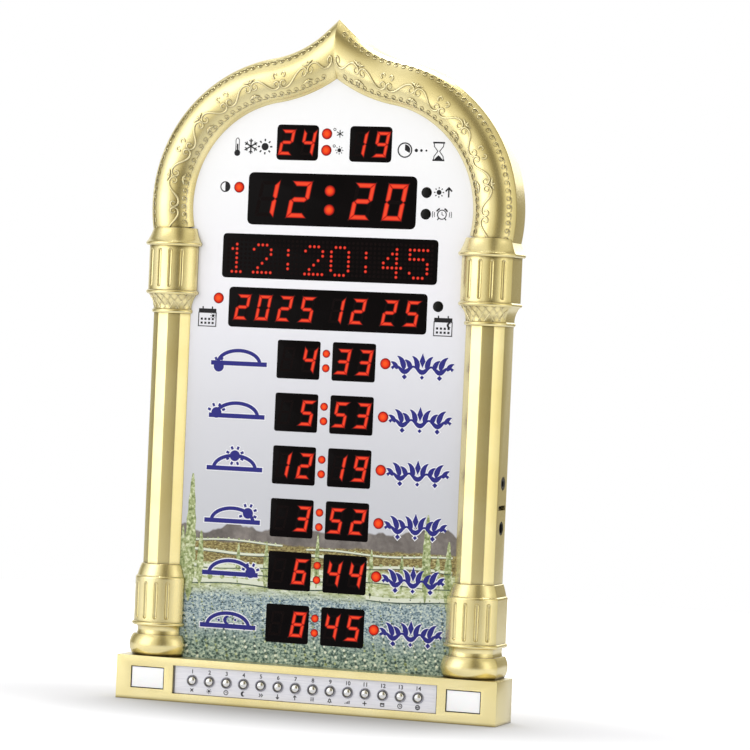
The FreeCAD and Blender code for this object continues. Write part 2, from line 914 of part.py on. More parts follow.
def make_face_panel():
    bottom = base_height - wall
    plate = arch_plate(band_width - panel_overlap, panel_side_x, bottom, panel_y, panel_back_y)
    cutters = window_plates()
    front = panel_y - 1
    back = panel_back_y + 1
    for x, z in lamp_places():
        cutters.append(rod(x, z, lamp_diameter / 2.0 + screw_play, front, back))
    for x, z in colon_places():
        cutters.append(rod(x, z, colon_lamp_diameter / 2.0 + screw_play, front, back))
    return plate.cut(cutters)


def lamp(x, z, diameter, tip_y):
    """A round lamp that stands on the board and ends in a low dome."""
    radius = diameter / 2.0
    shoulder_y = tip_y + lamp_dome
    dome = tapered_rod(x, z, radius - lamp_taper, radius, tip_y, shoulder_y)
    return joined([dome, rod(x, z, radius, shoulder_y, board_y)])


def display_module(x, z, width, height):
    """A plastic digit or dot block with a stepped back, which stands on the board."""
    step_y = board_y - module_rim
    w = width / 2.0
    h = height / 2.0
    block = box(x - w, x + w, panel_back_y, step_y, z - h, z + h)
    w -= module_rim
    h -= module_rim
    step = box(x - w, x + w, step_y, board_y, z - h, z + h)
    return block.fuse(step).removeSplitter()


def small_pair(x, z):
    return display_module(x, z, small_module_width, small_module_height)


def matrix_modules():
    first = -matrix_module_size * (matrix_module_count - 1) / 2.0
    size = matrix_module_size - module_play
    return [display_module(first + i * matrix_module_size, matrix_row_z, size, size)
            for i in range(matrix_module_count)]


def status_lamps():
    tip_y = panel_y + lamp_recess
    return [lamp(x, z, lamp_diameter, tip_y) for x, z in lamp_places()]


def colon_lamps():
    tip_y = panel_y + lamp_recess
    lamps = [lamp(x, z, colon_lamp_diameter, tip_y) for x, z in colon_places()]
    behind_y = panel_back_y + lamp_recess
    for sign in (1, -1):
        z = time_row_z + sign * time_colon_half_gap
        lamps.append(lamp(time_colon_x, z, time_colon_diameter, behind_y))
    return lamps


def make_displays():
    save(small_pair(-top_window_x, top_row_z), "temperature_display")
    save(small_pair(top_window_x, top_row_z), "countdown_display")
    time_pair = [display_module(x, time_row_z, time_module_width, time_module_height)
                 for x in (time_hours_x, time_minutes_x)]
    save(group(time_pair), "time_displays")
    save(group(matrix_modules()), "matrix_displays")
    save(group([small_pair(x, date_row_z) for x in date_pair_xs]), "date_displays")
    hours, minutes = pair_places()
    save(group([small_pair(x, z) for x, z in hours]), "row_hour_displays")
    save(group([small_pair(x, z) for x, z in minutes]), "row_minute_displays")
    save(group(status_lamps()), "status_lamps")
    save(group(colon_lamps()), "colon_lamps")


# ---------------------------------------------------------------- boards and electronics

def make_main_board():
    """The long board: full width behind the rows, round the speaker, narrower above."""
    low = base_height + board_floor_gap
    step_z = date_row_z + board_shoulder
    upper_z = spring_z + board_top_step
    top_z = top_row_z + small_module_height / 2.0 + board_top_margin
    upper_half = matrix_window_width / 2.0
    board = joined([box(-board_half, board_half, board_y, board_back_y, low, step_z),
                    box(-upper_half, upper_half, board_y, board_back_y, step_z - 1, upper_z),
                    box(-board_top_half, board_top_half, board_y, board_back_y, upper_z - 1, top_z)])
    front = board_y - 1
    back = board_back_y + 1
    inner_x = side_wall_x - socket_body_length - running_gap
    cutters = [box(inner_x, board_half + 1, front, back,
                   power_z - socket_height / 2.0 - 1, audio_z + socket_height / 2.0 + 1),
               rod(speaker_x, speaker_z, speaker_diameter / 2.0 + speaker_room, front, back,
                   speaker_sides)]
    for x, z in board_screw_places():
        cutters += both_sides(rod(x, z, screw_diameter / 2.0 + screw_clearance, front, back))
    return board.cut(cutters)


def controller_chip():
    z = row_zs[2]
    half = controller_size / 2.0
    leads = square_block(controller_x, z, half, board_y - lead_height, board_y)
    body_y = board_y - lead_height - chip_height
    body = square_block(controller_x, z, half - controller_lead, body_y, board_y - lead_height)
    return joined([leads, body])


def driver_chips():
    return [square_block(driver_x, z, driver_size / 2.0, board_y - driver_height, board_y)
            for z in row_zs]


def capacitors():
    middle = row_zs[4]
    return [rod(capacitor_x, middle + sign * capacitor_spacing / 2.0, capacitor_diameter / 2.0,
                board_y - capacitor_height, board_y) for sign in (-1, 1)]


def cell_holder():
    z = row_zs[4]
    inner = cell_diameter / 2.0 + cell_play
    outer = inner + holder_wall
    floor_y = board_y - holder_floor
    ring = tube(cell_x, z, outer, inner, floor_y - cell_height - cell_play, floor_y)
    return joined([ring, rod(cell_x, z, outer, floor_y, board_y)])


def coin_cell():
    floor_y = board_y - holder_floor
    return rod(cell_x, row_zs[4], cell_diameter / 2.0, floor_y - cell_height, floor_y)


def temperature_sensor():
    """A small round part with one flat side."""
    z = row_zs[5]
    radius = sensor_diameter / 2.0
    body = rod(sensor_x, z, radius, board_y - sensor_height, board_y)
    flat = box(sensor_x - 2 * radius, sensor_x - sensor_flat, panel_y, back_y, z - radius, z + radius)
    return body.cut(flat)


def remote_receiver():
    w = receiver_width / 2.0
    h = receiver_height / 2.0
    z = time_row_z - receiver_drop
    return box(receiver_x - w, receiver_x + w, board_y - receiver_depth, board_y, z - h, z + h)


def make_electronics():
    save(make_main_board(), "main_board")
    save(controller_chip(), "controller_chip")
    save(group(driver_chips()), "driver_chips")
    save(group(capacitors()), "capacitors")
    save(cell_holder(), "cell_holder")
    save(coin_cell(), "coin_cell")
    save(temperature_sensor(), "temperature_sensor")
    save(remote_receiver(), "remote_receiver")


def round_socket(z, width, bore_radius, bore_length, collar_wall):
    """A socket behind the side wall, with a round collar that fills the hole in the wall."""
    start = side_wall_x - socket_body_length
    half = width / 2.0
    h = socket_height / 2.0
    body = box(start, side_wall_x, socket_y - half, socket_y + half, z - h, z + h)
    collar = along_x(side_wall_x, socket_y, z, bore_radius + collar_wall, wall)
    bore = along_x(side_x - bore_length, socket_y, z, bore_radius, bore_length + 1)
    return joined([body, collar]).cut(bore)


def card_reader():
    start = side_wall_x - socket_body_length
    front = socket_y - card_slot_front
    back = socket_y + card_slot_back
    h = card_slot_height / 2.0
    w = card_wall
    body = box(start, side_wall_x, front - w, back + w, card_z - h - w, card_z + h + w)
    slot = box(start + w, side_wall_x + 1, front, back, card_z - h, card_z + h)
    return body.cut(slot)


def make_sockets():
    save(round_socket(audio_z, audio_body_width, audio_bore_radius, audio_bore_length,
                      audio_collar_wall), "audio_socket")
    save(round_socket(power_z, power_body_width, power_bore_radius, power_bore_length,
                      power_collar_wall), "power_socket")
    save(along_x(side_x - power_bore_length, socket_y, power_z, power_pin_radius,
                 power_bore_length - power_pin_recess), "power_pin")
    save(card_reader(), "card_reader")


# ---------------------------------------------------------------- the base's controls

def make_key_board():
    half = end_window_x + end_window_width / 2.0 - end_window_lip
    margin = wall + key_board_margin
    board = box(-half, half, key_board_y, key_board_back_y, margin, base_height - margin)
    hole = rod(key_screw_x, key_row_z, screw_diameter / 2.0 + screw_clearance,
               key_board_y - 1, key_board_back_y + 1)
    return board.cut(both_sides(hole))


def push_switch(x):
    """A square switch with a well, which the button's stem runs in."""
    body = square_block(x, key_row_z, switch_size / 2.0, switch_y, key_board_y)
    well = button_stem_diameter / 2.0 + running_gap
    return body.cut(square_block(x, key_row_z, well, switch_y - 1, switch_y + switch_well_depth))


def make_button(x):
    """A domed cap, its hidden flange and the stem that works the switch, in one piece."""
    cap = button_diameter / 2.0
    z = key_row_z
    shoulder_y = button_tip_y + button_dome
    end_y = button_flange_back_y + button_stem_length
    return joined([tapered_rod(x, z, button_top_radius, cap, button_tip_y, shoulder_y),
                   rod(x, z, cap, shoulder_y, button_flange_y),
                   rod(x, z, bezel_diameter / 2.0 - running_gap, button_flange_y, button_flange_back_y),
                   rod(x, z, button_stem_diameter / 2.0, button_flange_back_y, end_y)])


def label_strip():
    half = strip_height / 2.0
    strip = box(-strip_width / 2.0, strip_width / 2.0, strip_y, strip_back_y,
                key_row_z - half, key_row_z + half)
    return strip.cut([rod(x, key_row_z, bezel_diameter / 2.0, strip_y - 1, strip_back_y + 1)
                      for x in button_xs])


def button_bezels():
    inner = button_diameter / 2.0 + running_gap
    return [tube(x, key_row_z, bezel_diameter / 2.0, inner, bezel_y, bezel_back_y)
            for x in button_xs]


def end_window(side):
    window_y = front_y + end_window_recess
    x = side * end_window_x
    w = end_window_width / 2.0
    h = end_window_height / 2.0
    return box(x - w, x + w, window_y, window_y + end_window_thickness,
               key_row_z - h, key_row_z + h)


def window_lamps():
    w = window_lamp_width / 2.0
    h = window_lamp_height / 2.0
    return both_sides(box(end_window_x - w, end_window_x + w, key_board_y - window_lamp_depth,
                          key_board_y, key_row_z - h, key_row_z + h))


def make_controls():
    save(label_strip(), "label_strip")
    save(group(button_bezels()), "button_bezels")
    save(group([push_switch(x) for x in button_xs]), "push_switches")
    save(make_key_board(), "key_board")
    for i, x in enumerate(button_xs):
        save(make_button(x), "button_%02d" % (i + 1))
    save(end_window(-1), "left_window")
    save(end_window(1), "right_window")
    save(group(window_lamps()), "window_lamps")


def make_cable():
    """Flat cable from the key board up to the main board, with a plug at each end."""
    left = cable_x - cable_width / 2.0
    middle_y = board_y - plug_depth / 2.0
    top_z = base_height + cable_rise
    start_y = key_board_back_y + plug_depth
    bend = (middle_y - start_y) / 2.0
    centre_y = middle_y - bend
    centre_z = key_row_z + bend
    edges = []
    ends = []
    for offset in (-cable_thickness / 2.0, cable_thickness / 2.0):
        radius = bend + offset
        k = radius * math.sqrt(0.5)
        start = V(left, start_y, centre_z - radius)
        turn = V(left, centre_y, centre_z - radius)
        swing = V(left, centre_y + k, centre_z - k)
        rise = V(left, centre_y + radius, centre_z)
        top = V(left, centre_y + radius, top_z)
        edges += [line(start, turn), arc(turn, swing, rise), line(rise, top)]
        ends.append((start, top))
    edges += [line(ends[0][0], ends[1][0]), line(ends[0][1], ends[1][1])]
    save(closed_face(edges).extrude(V(cable_width, 0, 0)), "flat_cable")
    w = cable_width / 2.0 + plug_margin
    h = plug_height / 2.0
    lower = box(cable_x - w, cable_x + w, key_board_back_y, start_y, key_row_z - h, key_row_z + h)
    upper = box(cable_x - w, cable_x + w, board_y - plug_depth, board_y, top_z, top_z + plug_height)
    save(group([lower, upper]), "cable_plugs")


# ---------------------------------------------------------------- the back

def cone_along_y(first_radius, last_radius, y0, y1):
    """A cone on the speaker's axis."""
    return tapered_rod(speaker_x, speaker_z, first_radius, last_radius, y0, y1, speaker_sides)


def hanger_slot(x):
    """A keyhole: round mouth for the screw head and a slot above it for the shank."""
    y0 = cover_y - 1
    y1 = back_y + 1
    top_z = hanger_z + hanger_slot_length
    slot = box(x - hanger_slot_radius, x + hanger_slot_radius, y0, y1, hanger_z, top_z)
    return joined([round_rod(x, hanger_z, hanger_head_radius, y0, y1), slot,
                   round_rod(x, top_z, hanger_slot_radius, y0, y1)])


def grille_places():
    places = [(speaker_x, speaker_z)]
    ring = 1
    while ring * grille_pitch < speaker_diameter / 2.0 - grille_hole_diameter * 2.0:
        for i in range(6 * ring):
            angle = 2.0 * math.pi * i / (6 * ring)
            places.append((speaker_x + ring * grille_pitch * math.cos(angle),
                           speaker_z + ring * grille_pitch * math.sin(angle)))
        ring += 1
    return places


def make_rear_cover():
    offset = wall + cover_clearance
    side = side_wall_x - cover_clearance
    top_z = base_height - offset
    upper = arch_plate(offset, side, top_z - 1, cover_y, back_y)
    lower_half = half_width - offset
    lower = box(-lower_half, lower_half, cover_y, back_y, cover_floor_gap, top_z)
    front = cover_y - 1
    back = back_y + 1
    cutters = both_sides(hanger_slot(hanger_spacing / 2.0))
    for x, z in cover_screw_places():
        head_y = back_y - screw_head_height
        hole = screw_diameter / 2.0 + screw_clearance
        seat = screw_head_diameter / 2.0 + screw_clearance
        cutters += both_sides(rod(x, z, hole, front, back, fixing_sides))
        cutters += both_sides(rod(x, z, seat, head_y, back, fixing_sides))
    for x, z in grille_places():
        cutters.append(rod(x, z, grille_hole_diameter / 2.0, front, back, grille_hole_sides))
    for i in range(vent_count):
        z = row_zs[3] + vent_pitch * (i - (vent_count - 1) / 2.0)
        cutters.append(box(-vent_length / 2.0, vent_length / 2.0, front, back,
                           z - vent_width / 2.0, z + vent_width / 2.0))
    return joined([upper, lower]).cut(cutters)


def speaker_basket():
    """A conical bowl with a flat flange on the cover."""
    radius = speaker_diameter / 2.0
    magnet_y = cover_y - speaker_depth + magnet_depth
    flange_y = cover_y - speaker_flange_depth
    low = magnet_diameter / 2.0 + speaker_skin
    high = radius - speaker_flange + speaker_skin
    bowl = cone_along_y(low, high, magnet_y, flange_y)
    inside = cone_along_y(low - speaker_skin, high - speaker_skin, magnet_y + speaker_skin, flange_y)
    flange = tube(speaker_x, speaker_z, radius, radius - speaker_flange, flange_y, cover_y,
                  speaker_sides)
    return joined([flange, bowl.cut(inside)])


def speaker_cone():
    """A paper cone, glued by its rim to the inside of the basket's flange."""
    rim = speaker_diameter / 2.0 - speaker_flange
    edge_y = cover_y - cone_rim_recess
    outside = cone_along_y(cone_hub_radius, rim - cone_rim, edge_y - cone_depth, edge_y)
    hollow = cone_along_y(cone_hub_radius - cone_skin, rim - cone_rim - cone_skin,
                          edge_y - cone_depth + cone_skin, edge_y)
    ring = tube(speaker_x, speaker_z, rim, rim - cone_rim - cone_skin, edge_y - cone_skin, edge_y,
                speaker_sides)
    return joined([outside.cut(hollow), ring])


def make_speaker():
    start_y = cover_y - speaker_depth
    save(speaker_basket(), "speaker_basket")
    save(rod(speaker_x, speaker_z, magnet_diameter / 2.0, start_y, start_y + magnet_depth,
             speaker_sides), "speaker_magnet")
    save(speaker_cone(), "speaker_cone")


def screw(x, z, head_y, length):
    """A pan screw that goes in from behind: head outside, shank towards the front."""
    head = rod(x, z, screw_head_diameter / 2.0, head_y, head_y + screw_head_height, fixing_sides)
    shank = rod(x, z, screw_diameter / 2.0, head_y - length, head_y, fixing_sides)
    return head.fuse(shank).removeSplitter()


def screw_pairs(places, head_y, length):
    screws = []
    for x, z in places:
        screws += both_sides(screw(x, z, head_y, length))
    return group(screws)


def make_screws():
    save(screw_pairs(cover_screw_places(), back_y - screw_head_height, cover_screw_length),
         "cover_screws")
    save(screw_pairs(board_screw_places(), board_back_y, board_screw_length), "board_screws")
    save(screw_pairs([(key_screw_x, key_row_z)], key_board_back_y, key_screw_length),
         "key_board_screws")


def main():
    os.makedirs("parts", exist_ok=True)
    save(make_front_frame(), "front_frame")
    save(make_face_panel(), "face_panel")
    save(group(window_plates()), "display_windows")
    make_displays()
    make_electronics()
    make_sockets()
    make_controls()
    make_cable()
    save(make_rear_cover(), "rear_cover")
    make_speaker()
    make_screws()
    print("height", round(apex_height(), 2), "row pitch", round(row_pitch, 2))


main()
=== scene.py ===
import json
import math

import bmesh
import bpy
import numpy as np
from mathutils import Matrix, Vector


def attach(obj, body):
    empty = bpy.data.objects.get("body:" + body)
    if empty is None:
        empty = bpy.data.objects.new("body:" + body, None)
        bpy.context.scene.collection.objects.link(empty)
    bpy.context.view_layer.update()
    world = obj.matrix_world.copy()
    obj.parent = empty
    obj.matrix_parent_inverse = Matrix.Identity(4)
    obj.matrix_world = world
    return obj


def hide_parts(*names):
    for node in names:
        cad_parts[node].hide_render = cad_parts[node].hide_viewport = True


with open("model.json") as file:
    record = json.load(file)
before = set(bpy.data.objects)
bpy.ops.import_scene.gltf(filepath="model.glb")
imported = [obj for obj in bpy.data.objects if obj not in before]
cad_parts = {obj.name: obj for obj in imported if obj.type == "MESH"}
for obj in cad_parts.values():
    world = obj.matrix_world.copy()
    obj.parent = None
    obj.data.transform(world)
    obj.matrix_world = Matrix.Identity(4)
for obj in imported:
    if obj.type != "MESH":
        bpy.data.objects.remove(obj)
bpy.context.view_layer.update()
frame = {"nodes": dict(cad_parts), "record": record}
mm = 0.001


# -------------------------------------------------------- sizes of the case, in millimetres
front_y, back_y, panel_y = -14.5, 14.5, -2.0
inside_panel = panel_y + 0.02        # where hidden edges and the backs of prints lie
plane_gap = 0.02                     # keeps backs that overlap out of one plane
half_width, base_height, wall = 111.0, 24.3, 2.2
column_x, column_axis_y, side_x = 91.8, 4.465, 103.0
column_inner = side_x - wall - column_x
crease = math.radians(60.0)          # where a rounded front turns into a flat side
half_sine = math.sin(crease)
arc_centre = (23.05, 276.8)          # axis of the arch's large sweep
hollow_centre = (47.78, 417.04)      # axis of the sweep back up to the point
band_middle, hollow_middle = 71.3, 71.1
band_half, band_radius = 12.4, 14.32
band_axis_y = 5.16
foot_angle, turn_angle = math.radians(-12.0), math.radians(80.0)
tip_angle, tip_slope = math.radians(47.3), math.radians(42.7)    # the sweep ends straight
lip_depth = 2.2
plinth_top, capital_bottom = 75.5, 215.9
drum_half, shaft_half = 14.5, 11.2
plinth_drum, capital_drum = (43.25, 67.2), (228.75, 253.5)
neck_foot, neck_head, neck_hollow = (11.45, 218.2), (14.2, 226.4), -0.75
flute_half, flute_depth = 1.25, 0.85
flute_angles = [6.5 + 22.5 * (i - 1.5) for i in range(4)]
border_pitch, scroll_pitch, scroll_count, vine_across = 4.4, 17.0, 9, -2.5
socket_y, audio_z, power_z = 6.8, 130.5, 106.0
end_window_x = 92.3
key_row_z = 12.45
button_xs = [10.16 * (i - 6.5) for i in range(14)]
button_marks = ["cross", "sun", "dial", "moon", "next", "down", "up", "grid", "bell", "bars",
                "plus", "page", "dial", "globe"]
cover_screws = [(96.0, 193.9), (96.0, 88.5), (58.7, 338.55), (104.0, key_row_z)]


# -------------------------------------------------------- layout of the face, in millimetres
row_zs = [192.9 - 29.24 * i for i in range(6)]
row_hours_x, row_minutes_x, half_pair = -15.4, 17.0, 6.35
top_pair_x, top_z, time_z, date_z = 21.4, 312.9, 281.4, 220.8
dots_z, block_pitch, dot_pitch = 249.3, 20.3, 2.54
top_signs_z = 310.2
# each window: its middle, width, height and corner radius
windows = [(-top_pair_x, top_z, 24.3, 19.4, 2.4), (top_pair_x, top_z, 24.3, 19.4, 2.4),
           (0, time_z, 98.4, 28.8, 3.4), (0, dots_z, 125.8, 24.4, 2.4),
           (0, date_z, 116.0, 22.0, 2.4)]
windows += [(x, z, 25.0, 21.0, 1.3) for z in row_zs for x in (row_hours_x, row_minutes_x)]
slant = math.tan(math.radians(10.0))
small_digit = (7.1, 13.5, 1.35, 0.24)     # width, height, stroke and gap of the bars
large_digit = (10.9, 19.7, 2.1, 0.3)
lit_bars = {"0": "abcdef", "1": "bc", "2": "abged", "3": "abgcd", "4": "fgbc", "5": "afgcd",
            "6": "afgedc", "7": "abc", "8": "abcdefg", "9": "abcdfg", " ": ""}
# each row of digits: what it shows, the digits' places, their height and their size
digit_rows = [("2419", [x + step for x in (-top_pair_x, top_pair_x)
                        for step in (-half_pair, half_pair)], top_z, small_digit),
              ("1220", (-38.0, -19.0, 18.0, 37.0), time_z, large_digit),
              ("20251225", (-49.9, -37.4, -24.7, -11.6, 5.8, 18.3, 36.5, 49.6), date_z,
               small_digit)]
digit_rows += [(text, [x + step for x in (row_hours_x, row_minutes_x)
                       for step in (-half_pair, half_pair)], z, small_digit)
               for text, z in zip((" 433", " 553", "1219", " 352", " 644", " 845"), row_zs)]
dot_glyphs = {"0": (14, 17, 17, 17, 17, 17, 14), "1": (4, 12, 4, 4, 4, 4, 14),
              "2": (14, 17, 1, 2, 4, 8, 31), "4": (2, 6, 10, 18, 31, 2, 2),
              "5": (31, 16, 30, 1, 1, 17, 14), ":": (0, 4, 4, 0, 4, 4, 0)}
lit_lamps = [(-4.4, 318.1), (-4.4, 309.0), (-54.9, 287.3), (-64.3, 225.3)]
lit_lamps += [(35.4, z) for z in row_zs]
dark_lamps = [(54.9, 287.3), (54.9, 275.5), (64.3, 225.3)]
# each leaf of a flourish: where it starts, how long it is, its lean in degrees and its swell
leaves = [(2.6, 8.4, 4, 2.5), (6.6, 6.6, 14, 2.3), (10.4, 8.6, 10, 2.6), (14.4, 5.6, 24, 2.0)]
sun_angles = [196, 168, 90, 42, 10, 0]    # where the sun stands, in the order of the rows
# each layer: its edge's height, how far that wanders, its pitch and softness, then the
# grain, its flatness and its colours
garden_layers = [
    (0.074, 0.050, 24.0, 0.0005, 90.0, 1.0, [(0.3, "#5E5854"), (0.5, "#77706B"),
                                             (0.7, "#948C86")]),
    (0.087, 0.006, 60.0, 0.0006, 520.0, 2.0, [(0.32, "#4A3F26"), (0.46, "#7C6C42"),
                                              (0.56, "#A89A5E"), (0.68, "#DCD6A0")]),
    (0.073, 0.010, 45.0, 0.0006, 240.0, 3.2, [(0.30, "#7F905C"), (0.42, "#B4BC84"),
                                              (0.54, "#DDE3BC"), (0.68, "#F4F6E8")]),
    (0.057, 0.012, 22.0, 0.0030, 800.0, 1.4, [(0.36, "#2E4048"), (0.44, "#6E8690"),
                                              (0.52, "#A9BCC0"), (0.62, "#D9E2D4"),
                                              (0.7, "#C9CC94")]),
    (0.018, 0.046, 11.0, 0.0060, 620.0, 1.3, [(0.36, "#26352F"), (0.45, "#5E776C"),
                                              (0.54, "#9FB3A2"), (0.66, "#D3DBC0")])]
# each cypress: its place, foot, height and half width
cypresses = [(-75.0, 58, 70, 4.2), (-79.6, 62, 36, 2.6), (-68.6, 66, 30, 2.6),
             (64.0, 66, 46, 3.3), (76.6, 62, 36, 3.0), (70.6, 68, 22, 2.4),
             (-29.4, 66, 26, 2.2), (0.6, 70, 28, 1.9), (32.2, 66, 25, 2.0),
             (-46.0, 70, 20, 1.7), (50.0, 70, 19, 1.7)]
# each terrace: height, both ends and thickness
terraces = [(90.5, -79, -20, 0.9), (88.0, -6, 79, 0.9), (84.5, -79, 30, 1.3),
            (81.0, 10, 79, 1.4), (77.0, -79, -4, 1.8), (73.0, -40, 79, 1.9),
            (68.0, -79, 26, 2.4), (64.5, 30, 79, 2.2)]


# -------------------------------------------------------- light, in metres
floor_radius = 0.95
ambient = 0.83                       # of the surround, where it only lights
# what stands round the room, by its bearing from straight ahead, as metal mirrors it
room_round = [(-180, "#F4F4F0"), (-130, "#FFFFFF"), (-116, "#8A8460"), (-96, "#8A8460"),
              (-80, "#FFFFFF"), (-10, "#FFFBEE"), (7, "#A69B70"), (15, "#665C38"),
              (30, "#665C38"), (48, "#E6E0C8"), (96, "#E0DAC2"), (122, "#948C6A"),
              (164, "#9A9170"), (180, "#F4F4F0")]
# each lamp: its name, place, aim, width, height and radiance
lamps = [("left_strip", (-1.1, -1.1, 0.5), (0, 0, 0.25), 1.1, 1.7, 1.3),
         ("right_strip", (1.35, -0.62, 0.45), (0, 0, 0.25), 0.6, 1.5, 0.7),
         ("top_box", (-0.1, 0.42, 1.7), (0, 0, 0.1), 1.0, 0.7, 8.0),
         ("back_box", (0.25, 1.3, 0.9), (0, 0, 0.1), 0.9, 0.9, 1.6)]


# -------------------------------------------------------- objects and the camera
def linked(name, data):
    """A new object of the scene, which shows the data."""
    made = bpy.data.objects.new(name, data)
    bpy.context.scene.collection.objects.link(made)
    return made


def place_camera():
    """A long lens from the right, level with the middle of the dial and turned a little."""
    azimuth, elevation, roll = (math.radians(angle) for angle in (19.0, 0.497, 2.493))
    target = Vector((33.96, front_y, 186.58)) * mm
    distance = 1945.0 * mm
    back = Vector((math.sin(azimuth) * math.cos(elevation),
                   -math.cos(azimuth) * math.cos(elevation), math.sin(elevation)))
    right = (-back).cross(Vector((0, 0, 1))).normalized()
    up = right.cross(-back)
    turned_right = right * math.cos(roll) + up * math.sin(roll)
    turned_up = up * math.cos(roll) - right * math.sin(roll)
    data = bpy.data.cameras.new("camera")
    data.sensor_width = 36.0
    data.lens = 171.3
    camera = linked("camera", data)
    turn = Matrix((turned_right, turned_up, back)).transposed()
    camera.matrix_world = Matrix.Translation(target + back * distance) @ turn.to_4x4()
    bpy.context.scene.camera = camera


# -------------------------------------------------------- shader nodes
def colour(code):
    """An sRGB hex value as a linear colour."""
    parts = [int(code[i:i + 2], 16) / 255.0 for i in (1, 3, 5)]
    linear = [part / 12.92 if part <= 0.04045 else ((part + 0.055) / 1.055) ** 2.4
              for part in parts]
    return (*linear, 1.0)


def add(tree, kind, inputs=None, **settings):
    """Adds a node with its settings, and with a value or a link for each input named."""
    node = tree.nodes.new(kind)
    for name, value in settings.items():
        if name == "stops":
            ramp = node.color_ramp.elements
            while len(ramp) < len(value):
                ramp.new(0.5)
            for element, (place, code) in zip(ramp, value):
                element.position, element.color = place, colour(code)
        else:
            setattr(node, name, value)
    for key, value in (inputs or {}).items():
        if isinstance(value, bpy.types.NodeSocket):
            tree.links.new(value, node.inputs[key])
        else:
            node.inputs[key].default_value = value
    return node


def new_material(name, inputs):
    """A material with one principled shader; returns the material, its tree and the shader."""
    material = bpy.data.materials.new(name)
    material.use_nodes = True
    tree = material.node_tree
    tree.nodes.clear()
    shader = add(tree, "ShaderNodeBsdfPrincipled", inputs)
    add(tree, "ShaderNodeOutputMaterial", {"Surface": shader.outputs[0]})
    return material, tree, shader


# -------------------------------------------------------- stage
def ray_kinds(tree):
    """Whether a ray is the camera's, straight or through glass, and whether it is mirrored."""
    path = add(tree, "ShaderNodeLightPath")
    direct = add(tree, "ShaderNodeMath", {0: path.outputs["Is Camera Ray"],
                                          1: path.outputs["Is Transmission Ray"]},
                 operation="MAXIMUM")
    return direct.outputs[0], path.outputs["Is Glossy Ray"]


def floor_finish():
    """Pale matt floor: white far off, grey round the clock from its shadow and painted shade;
    dimmer where metal mirrors it, but for a painted glow before the clock.
    """
    material, tree, shader = new_material("floor_white", {
        "Base Color": colour("#C0C0C2"), "Roughness": 0.9, "Emission Color": (1, 1, 1, 1)})
    direct, mirrored = ray_kinds(tree)
    place = add(tree, "ShaderNodeTexCoord").outputs["Object"]
    narrow = add(tree, "ShaderNodeMapping", {"Vector": place, "Scale": (0.3, 1.0, 1.0)})
    away = add(tree, "ShaderNodeVectorMath", {0: narrow.outputs[0]}, operation="LENGTH")
    # painted shadow: the white added for the camera fades out close to the clock, leaving a grey
    # pool round its foot
    bare = add(tree, "ShaderNodeMapRange", {"Value": away.outputs["Value"], "From Min": 0.025,
                                            "From Max": 0.16, "To Min": 0.0, "To Max": 0.7})
    seen = add(tree, "ShaderNodeMath", {0: bare.outputs[0], 1: direct}, operation="MULTIPLY")
    # painted light: in front of the clock the floor glows for mirrored rays only, so the gold
    # mirroring it looks brighter
    near = add(tree, "ShaderNodeMapRange", {"Value": away.outputs["Value"], "From Min": 0.14,
                                            "From Max": 0.45, "To Min": 0.38, "To Max": 0.0})
    depth = add(tree, "ShaderNodeSeparateXYZ", {0: place})
    front = add(tree, "ShaderNodeMapRange", {"Value": depth.outputs["Y"], "From Min": 0.02,
                                             "From Max": -0.02, "To Min": 0.0, "To Max": 1.0})
    painted_gleam = add(tree, "ShaderNodeMath", {0: near.outputs[0], 1: front.outputs[0]},
                operation="MULTIPLY")
    white = add(tree, "ShaderNodeMath", {0: mirrored, 1: painted_gleam.outputs[0], 2: seen.outputs[0]},
                operation="MULTIPLY_ADD")
    tree.links.new(white.outputs[0], shader.inputs["Emission Strength"])
    return material


def studio_world():
    """A surround that the camera sees white, that lights evenly and is mirrored in bands."""
    world = bpy.data.worlds.new("studio")
    world.use_nodes = True
    tree = world.node_tree
    tree.nodes.clear()
    direct, mirrored = ray_kinds(tree)
    way = add(tree, "ShaderNodeSeparateXYZ", {
        0: add(tree, "ShaderNodeTexCoord").outputs["Generated"]})
    ahead = add(tree, "ShaderNodeMath", {0: way.outputs["Y"], 1: -1.0}, operation="MULTIPLY")
    bearing = add(tree, "ShaderNodeMath", {0: way.outputs["X"], 1: ahead.outputs[0]},
                  operation="ARCTAN2")
    turn = add(tree, "ShaderNodeMapRange", {"Value": bearing.outputs[0], "From Min": -math.pi,
                                            "From Max": math.pi})
    room = add(tree, "ShaderNodeValToRGB", {"Fac": turn.outputs[0]}, stops=[
        (degrees / 360.0 + 0.5, code) for degrees, code in room_round])
    lit = add(tree, "ShaderNodeMix", {"Factor": mirrored, "A": (ambient, ambient, ambient, 1.0),
                                      "B": room.outputs[0]}, data_type="RGBA")
    seen = add(tree, "ShaderNodeMix", {"Factor": direct, "A": lit.outputs[2],
                                       "B": (1.0, 1.0, 1.0, 1.0)}, data_type="RGBA")
    light = add(tree, "ShaderNodeBackground", {"Color": seen.outputs[2]})
    add(tree, "ShaderNodeOutputWorld", {"Surface": light.outputs[0]})
    return world


def make_stage():
    """A white floor that keeps the clock's shadow, with painted shade round it, a white surround,
    and soft lamps.
    """
    mesh = bpy.data.meshes.new("floor")
    mesh.from_pydata([(x, y, 0) for x, y in circle(0, 0, floor_radius, 72)], [],
                     [tuple(range(72))])
    mesh.materials.append(floor_finish())
    floor = linked("floor", mesh)
    bpy.context.scene.world = studio_world()
    for row in lamps:
        make_lamp(*row)


def make_lamp(name, place, aim, width, height, radiance):
    """A soft box of the given size and brightness, turned to its aim."""
    data = bpy.data.lights.new(name, "AREA")
    data.shape = "RECTANGLE"
    data.size, data.size_y = width, height
    data.energy = radiance * math.pi * width * height
    made = linked(name, data)
    made.location = place
    made.rotation_euler = (Vector(place) - Vector(aim)).to_track_quat("Z", "Y").to_euler()


